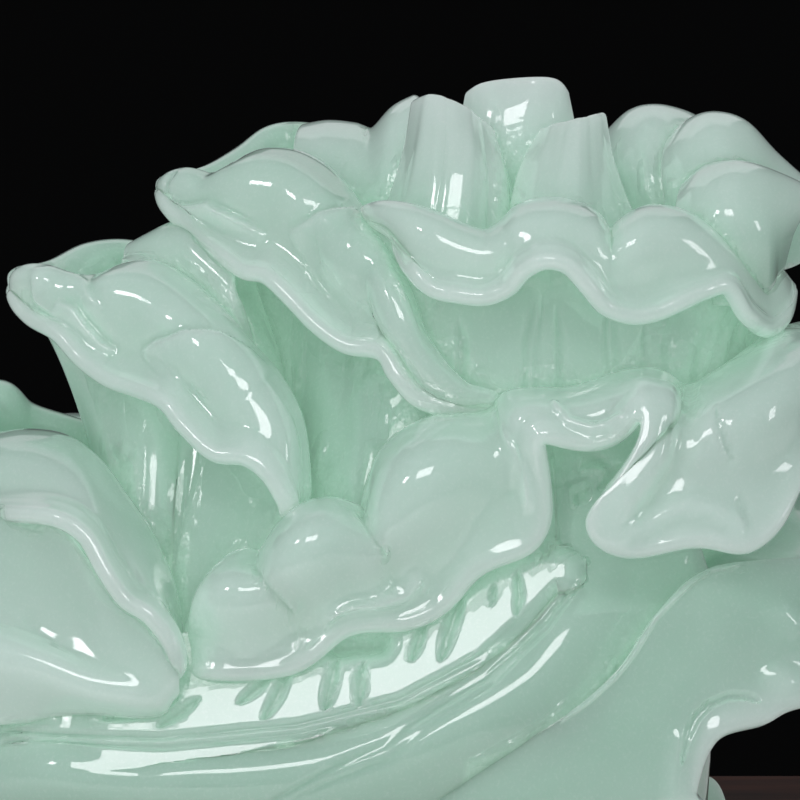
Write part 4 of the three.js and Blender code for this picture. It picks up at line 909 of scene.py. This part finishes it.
# Broad outer leaves
# The oldest leaves wrap both sides from the stalk end: a thick glossy rib with its blade, and a
# wavy lobe that curls forward at the right.
OUTER_FRONT = [
    [(-205, 770, -14), (-205, 790, -20), (-205, 808, -25), (-205, 828, -29), (-205, 856, -24),
     (-205, 881, -10)],
    [(-130, 735, -36), (-130, 765, -46), (-130, 790, -54), (-130, 818, -61), (-130, 860, -52),
     (-130, 892, -26)],
    [(-50, 705, -62), (-50, 740, -70), (-50, 765, -78), (-50, 800, -86), (-50, 858, -72), (-50, 900, -38)],
    [(40, 680, -86), (40, 716, -93), (40, 745, -99), (40, 785, -106), (40, 858, -88), (40, 908, -50)],
    [(140, 650, -85), (140, 705, -94), (140, 744, -100), (140, 788, -110), (140, 862, -96), (140, 912, -56)],
    [(240, 620, -79), (240, 688, -90), (240, 737, -98), (240, 785, -111), (240, 862, -99), (240, 915, -60)],
    [(340, 588, -74), (340, 662, -86), (340, 718, -95), (340, 770, -110), (340, 850, -100), (340, 917, -62)],
    [(435, 535, -70), (437, 620, -84), (440, 690, -96), (440, 745, -108), (440, 835, -98), (440, 917, -62)],
    [(505, 450, -60), (512, 550, -76), (520, 640, -90), (530, 698, -101), (540, 805, -96), (540, 916, -60)],
    [(552, 422, -58), (556, 535, -73), (566, 592, -83), (586, 650, -93), (612, 780, -91), (620, 912, -54)],
    [(606, 424, -58), (618, 510, -66), (640, 570, -74), (660, 640, -84), (672, 760, -82), (668, 905, -44)],
    [(660, 440, -54), (680, 500, -61), (705, 560, -68), (716, 620, -73), (704, 740, -64), (690, 895, -30)],
]
RIBBED = (0.008, 0.008, 0.008, 0.008, 0.010, 0.012)
RIB_PALENESS = (0.1, 0.3, 0.4, 0.1, 0, 0)
RIB_LINE = [(20, 736), (60, 738), (160, 742), (300, 728), (400, 703), (480, 660), (540, 605), (556, 585)]
RIDGE_LINE = [(262, 800), (321, 772), (385, 750), (445, 714), (490, 686), (523, 654), (550, 628), (574, 590)]
RIB_CUTS = [
    (RIDGE_LINE, 5, 0.0008, 0, 1),
    ([(x + 1, y + 8) for x, y in RIDGE_LINE], 4, 0.0005, 0, 1),
    (RIB_LINE, 5, 0.0010, 0, 1),
    ([(x + 2, y + 9) for x, y in RIB_LINE], 4.5, 0.0010, 0, 1),
    ([(105, 723), (140, 716), (178, 702)], 7, 0.0016, 0, 1),
    ([(160, 730), (180, 718), (198, 703)], 6, 0.0016, 0, 1),
    ([(240, 706), (256, 694), (272, 678)], 6, 0.0018, 0, 1),
    ([(265, 722), (278, 700), (290, 673)], 7, 0.0018, 0, 1),
    ([(326, 712), (331, 690), (338, 663)], 8, 0.0020, 0, 1),
    ([(360, 708), (361, 690), (363, 667)], 7, 0.0020, 0, 1),
    ([(413, 663), (418, 648), (425, 630)], 6, 0.0018, 0, 1),
    ([(442, 662), (450, 635), (462, 600)], 8, 0.0020, 0, 1),
    ([(494, 592), (493, 608)], 4, 0.0010, 0, 1),
    ([(517, 618), (520, 600), (518, 578)], 6, 0.0018, 0, 1),
    ([(338, 650), (378, 646)], 12, 0.0060, 0, 1),
    ([(580, 468), (592, 462), (604, 466)], 9, 0.0018, 0, 1),
    ([(596, 490), (612, 476), (622, 468)], 9, 0.0018, 0, 1),
    ([(572, 505), (584, 492)], 8, 0.0014, 0, 1),
]
FACE_MIDDLE = placed(300, 700, -97)
FACE_LEAN = math.radians(34.7)
FACE_TURN = math.radians(-2.5)
FACE_RADIUS = 1.02
FACE_EDGE = [(-50, 790), (60, 784), (140, 778), (240, 762), (310, 745), (420, 706),
             (480, 668), (530, 620), (556, 588)]
FACE_EDGE_WIDTH = 12
FACE_LEFT = 30
FACE_LEFT_WIDTH = 90
FACE_RIGHT = 582
FACE_RIGHT_WIDTH = 20
FACE_CORNER = 552
FACE_CORNER_WIDTH = 16


def polished_face(sheet):
    """Lays the band above the rib on one very shallow dish, as flat polishing leaves it."""
    eye = np.array(EYE)
    across, down = seen_at(sheet)
    level = math.cos(FACE_LEAN)
    facing = (math.sin(FACE_TURN) * level, -math.cos(FACE_TURN) * level, math.sin(FACE_LEAN))
    centre = FACE_MIDDLE + FACE_RADIUS * np.array(facing)
    way = unit(sheet - eye)
    nearing = (way * (eye - centre)).sum(axis=-1)
    reach = -nearing + np.sqrt(nearing ** 2 + FACE_RADIUS ** 2 - ((eye - centre) ** 2).sum())
    edge = np.interp(across, *np.array(FACE_EDGE).T)
    corner = np.maximum(FACE_CORNER - across, down - FACE_CORNER)
    share = np.clip((edge + FACE_EDGE_WIDTH / 2 - down) / FACE_EDGE_WIDTH, 0, 1)
    share = share * np.clip((across - FACE_LEFT) / FACE_LEFT_WIDTH, 0, 1)
    share = share * np.clip((FACE_RIGHT - across) / FACE_RIGHT_WIDTH, 0, 1)
    share = share * np.clip(corner / FACE_CORNER_WIDTH, 0, 1)
    share = share * share * (3 - 2 * share)
    return sheet + share[..., None] * (eye + way * reach[..., None] - sheet)


rib_u = np.interp(even(341), (0, 0.15, 0.88, 1), (0, 0.34, 0.86, 1))
rib_v = np.interp(even(125), (0, 0.86, 1), (0, 0.64, 1))
RIB_FORM = dict(sizes=RIBBED, paleness=RIB_PALENESS, cuts=RIB_CUTS)
broad_leaf("outer_leaf_front", OUTER_FRONT, u=rib_u, v=rib_v, polish=polished_face, **RIB_FORM)
broad_leaf("outer_leaf_rear", OUTER_FRONT, u=even(241), side=FAR, push=-0.007, **RIB_FORM)

OUTER_RIGHT = [
    [(395, 806, -106), (430, 830, -109), (470, 870, -104), (500, 900, -90)],
    [(470, 770, -107), (520, 800, -110), (580, 840, -108), (600, 880, -98)],
    [(555, 722, -103), (600, 760, -106), (650, 800, -108), (690, 815, -107)],
    [(615, 672, -98), (650, 710, -101), (680, 750, -104), (694, 782, -107)],
    [(655, 615, -92), (690, 660, -95), (705, 710, -99), (714, 733, -103)],
    [(700, 572, -86), (730, 620, -89), (745, 680, -93), (760, 717, -99)],
    [(760, 562, -77), (790, 610, -81), (800, 660, -87), (800, 700, -93)],
    [(830, 560, -61), (860, 610, -67), (880, 650, -73), (890, 690, -79)],
    [(900, 560, -40), (940, 600, -48), (970, 640, -54), (980, 680, -59)],
]
LOBE = (0.004, 0.007, 0.007, 0.005)
LOBE_PALENESS = (0.1, 0.1, 0.3, 0.8)
LOBE_CUTS = [
    ([(735, 567), (706, 572), (688, 583), (653, 619), (634, 652), (614, 678), (586, 703), (560, 722)],
     3, -0.0010, 0, 1),
    ([(680, 762), (684, 740), (692, 720), (706, 706), (724, 699), (745, 700), (757, 705)], 7, 0.0009, 0, 1),
    ([(672, 800), (672, 765), (678, 742)], 12, -0.0012, 0, 1),
    ([(776, 618), (784, 626)], 17, -0.0020, 0, 1),
    ([(774, 680), (782, 686)], 15, -0.0018, 0, 1),
]
broad_leaf("outer_leaf_right", OUTER_RIGHT, LOBE, LOBE_PALENESS, u=even(321), v=even(140), cuts=LOBE_CUTS)
broad_leaf("outer_leaf_rear_right", OUTER_RIGHT, LOBE, LOBE_PALENESS, side=FAR, drop=0.008, push=-0.007)

# Base leaf
# A low ruffled leaf of the same jade, carved flat below, that carries the carving on the stand;
# one small lobe of it curls up at the right.
BASE_HEIGHT = 0.015
BASE_HALF_LENGTH = 0.146
BASE_HALF_DEPTH = 0.080
BASE_CENTRE_X = -0.022
BASE_RUFFLE = 0.0035
BASE_RUFFLES = 9
BASE_EDGE = [(0, 0.925), (0.06, 0.955), (0.25, 0.99), (0.5, 1.0), (0.7, 0.99), (0.9, 0.95), (1, 0.88)]
BASE_TOP = 1.05
BASE_TOP_RINGS = 28
CURL_PLACE = (0.093, -0.020)
CURL_REACH = (0.011, 0.016)
CURL_HEIGHT = 0.031
angles = np.linspace(0, 2 * math.pi, 360, endpoint=False)
count = len(angles)
ruffle = BASE_RUFFLE * np.cos(BASE_RUFFLES * angles)
rings = []
for height, spread in BASE_EDGE + [(BASE_TOP, s) for s in np.linspace(0.84, 0.3, BASE_TOP_RINGS)]:
    swing = ruffle * min(1, spread * 2)
    x = BASE_CENTRE_X + (BASE_HALF_LENGTH * spread + swing) * np.cos(angles)
    y = (BASE_HALF_DEPTH * spread + swing) * np.sin(angles)
    beside = ((x - CURL_PLACE[0]) / CURL_REACH[0]) ** 4
    before = ((y - CURL_PLACE[1]) / CURL_REACH[1]) ** 2
    curl = CURL_HEIGHT * np.exp(-beside - before) * (height > 1)
    rings.append(np.stack([x, y, BASE_HEIGHT * height + curl], axis=1))
points = np.array(rings) + np.array(CARVING_SHIFT)
faces = []
for i in range(len(rings) - 1):
    for k in range(count):
        a, b = i * count + k, i * count + (k + 1) % count
        faces.append((a, b, b + count, a + count))
faces.append(tuple(range(count))[::-1])
faces.append(tuple(range((len(rings) - 1) * count, len(rings) * count)))
mesh = bpy.data.meshes.new("base_leaf")
mesh.from_pydata(points.reshape(-1, 3).tolist(), [], faces)
stone_values(mesh)
base = bpy.data.objects.new("base_leaf", mesh)
bpy.context.scene.collection.objects.link(base)
pick(base)
bpy.ops.object.shade_smooth_by_angle(angle=math.radians(40))
dress(base, "base_leaf", jade, "carving")

# Root end
# The cut end of the cabbage, where the stalks meet: a short rounded plug of the same jade that
# stands on the left end of the block and is polished with it.
STUB_PLACE = Vector((-0.1885, 0, 0.034))
STUB_RADIUS = 0.021
STUB_LENGTH = 0.015
STUB_ROUND = 0.005
bpy.ops.object.select_all(action="DESELECT")
bpy.ops.mesh.primitive_cylinder_add(
    vertices=64, radius=STUB_RADIUS, depth=STUB_LENGTH, rotation=(0, math.pi / 2, 0))
stub = bpy.context.object
stub.location = STUB_PLACE + CARVING_SHIFT
bpy.ops.object.transform_apply(location=True, rotation=True, scale=True)
rounded = stub.modifiers.new("rounded", "BEVEL")
rounded.width = STUB_ROUND
rounded.segments = 8
rounded.limit_method = "ANGLE"
bpy.ops.object.modifier_apply(modifier="rounded")
bpy.ops.object.shade_smooth_by_angle(angle=math.radians(40))
stone_values(stub.data)
dress(stub, "root_stub", jade, "carving")

# Depth of painted shade
# Light leaves the stone greener where the hollows are narrow; the jade paints this in as darker green
# shade and a glow, so each leaf keeps a value for how closed in each of its points is.
LOOKS = 10
LOOK_TURN = 2.39996
LOOK_START = 0.0006
LOOK_REACH = 0.030
LOOK_GAIN = 1.6
ROW_STEP = 4
COLUMN_STEP = 3
corners, polygons = [], []
for piece in [leaf for leaf, rows, size in leaves] + [heart]:
    start = len(corners)
    corners.extend([vertex.co.copy() for vertex in piece.data.vertices])
    polygons.extend([tuple(start + k for k in face.vertices) for face in piece.data.polygons])
stone = BVHTree.FromPolygons(corners, polygons)
looks = []
for k in range(LOOKS):
    height = 0.15 + 0.8 * (k + 0.5) / LOOKS
    width = math.sqrt(1 - height * height)
    looks.append(Vector((math.cos(k * LOOK_TURN) * width, math.sin(k * LOOK_TURN) * width, height)))
for piece, rows, size in leaves:
    rows_used = list(range(0, rows, ROW_STEP))
    if (rows - 1) % ROW_STEP:
        rows_used.append(rows - 1)
    columns_used = list(range(0, size, COLUMN_STEP))
    vertices = piece.data.vertices
    normals = piece.data.vertex_normals
    coarse = np.zeros((len(rows_used), len(columns_used)))
    for i, r in enumerate(rows_used):
        for j, c in enumerate(columns_used):
            normal = Vector(normals[r * size + c].vector)
            turn = normal.to_track_quat("Z", "Y")
            origin = vertices[r * size + c].co + normal * LOOK_START
            for way in looks:
                hit = stone.ray_cast(origin, turn @ way, LOOK_REACH)
                if hit[0] is not None:
                    coarse[i, j] += 1 - hit[3] / LOOK_REACH
    coarse /= LOOKS
    filled = [np.interp(np.arange(rows), rows_used, column) for column in coarse.T]
    wrapped = np.array(filled + filled[:1]).T
    full = np.array([np.interp(np.arange(size), columns_used + [size], row) for row in wrapped])
    values = np.clip(full * LOOK_GAIN, 0, 1).astype(np.float32)
    piece.data.attributes["deep"].data.foreach_set("value", values.ravel())

# Floor
# A plain pale table top under the stand, ending a hand's breadth behind it. It carries the
# object and isn't part of it.
FLOOR_LENGTH = 4
FLOOR_DEPTH = 1.4
FLOOR_REAR = 0.212
FLOOR_COLOUR = (0.62, 0.61, 0.59, 1)
bpy.ops.object.select_all(action="DESELECT")
bpy.ops.mesh.primitive_plane_add(size=1)
floor = bpy.context.object
floor.name = "floor"
floor.scale = (FLOOR_LENGTH, FLOOR_DEPTH, 1)
floor.location = (0, FLOOR_REAR - FLOOR_DEPTH / 2, 0)
bpy.ops.object.transform_apply(location=True, rotation=True, scale=True)
pale, shader = start_material("pale_floor")
Wire.feed(shader, {"Base Color": FLOOR_COLOUR, "Roughness": 0.6})
floor.data.materials.append(pale)

# Light and camera
# Six lamps and a dim sky. Two of the lamps, the one overhead and the one low in front, only
# soften the shadows and are kept out of reflections. The camera looks a little down.
SKY_COLOUR = (0.93, 0.97, 1.0, 1)
SKY_LIGHT = 0.47
SKY_UNMIRRORED = 0.41
SKY_SEEN = 0.002
LAMP_COLOUR = (1.0, 0.95, 1.0)
LAMP_TARGET = Vector((0.0, 0.0, 0.17))
LAMPS = [  # name, place, width, height, power, mirrored in the polish
    ("main", (-0.04, -0.86, 1.10), 0.56, 0.30, 2.15, True),
    ("side_left", (-0.86, -0.76, 1.22), 0.20, 0.20, 0.9, True),
    ("side_right", (1.1, -0.5, 0.6), 0.15, 0.35, 0.5, True),
    ("overhead", (-0.45, -0.25, 1.5), 1.2, 0.9, 0.9, False),
    ("front_low", (-0.35, -1.45, 0.40), 1.3, 0.8, 6.0, False),
    ("rim_back", (0.0, 1.0, 1.1), 1.4, 0.8, 1.5, True),
]
SENSOR_WIDTH = 36

world = bpy.data.worlds.new("studio")
bpy.context.scene.world = world
world.use_nodes = True
Wire.tree = world.node_tree
seen = Wire.node("ShaderNodeLightPath", {}, {}, "Is Camera Ray")
gloss = Wire.node("ShaderNodeLightPath", {}, {}, "Is Glossy Ray")
level = (1 - seen).clamped() * (SKY_LIGHT - gloss * SKY_UNMIRRORED) + seen * SKY_SEEN
Wire.feed(world.node_tree.nodes["Background"], {"Color": SKY_COLOUR, "Strength": level})

for name, place, width, height, power, mirrored in LAMPS:
    lamp = bpy.data.lights.new(name, "AREA")
    lamp.shape = "RECTANGLE"
    lamp.size = width
    lamp.size_y = height
    lamp.energy = power
    lamp.color = LAMP_COLOUR
    made = bpy.data.objects.new(name, lamp)
    bpy.context.scene.collection.objects.link(made)
    made.visible_glossy = mirrored
    made.location = place
    made.rotation_euler = (LAMP_TARGET - Vector(place)).to_track_quat("-Z", "Y").to_euler()

lens = bpy.data.cameras.new("camera")
lens.sensor_width = SENSOR_WIDTH
lens.lens = SENSOR_WIDTH * EYE_DISTANCE / VIEW_WIDTH
lens.clip_start = 0.01
camera = bpy.data.objects.new("camera", lens)
bpy.context.scene.collection.objects.link(camera)
camera.location = EYE + CARVING_SHIFT
camera.rotation_euler = FORWARD.to_track_quat("-Z", "Y").to_euler()
bpy.context.scene.camera = camera
bpy.context.scene.view_settings.view_transform = "Standard"
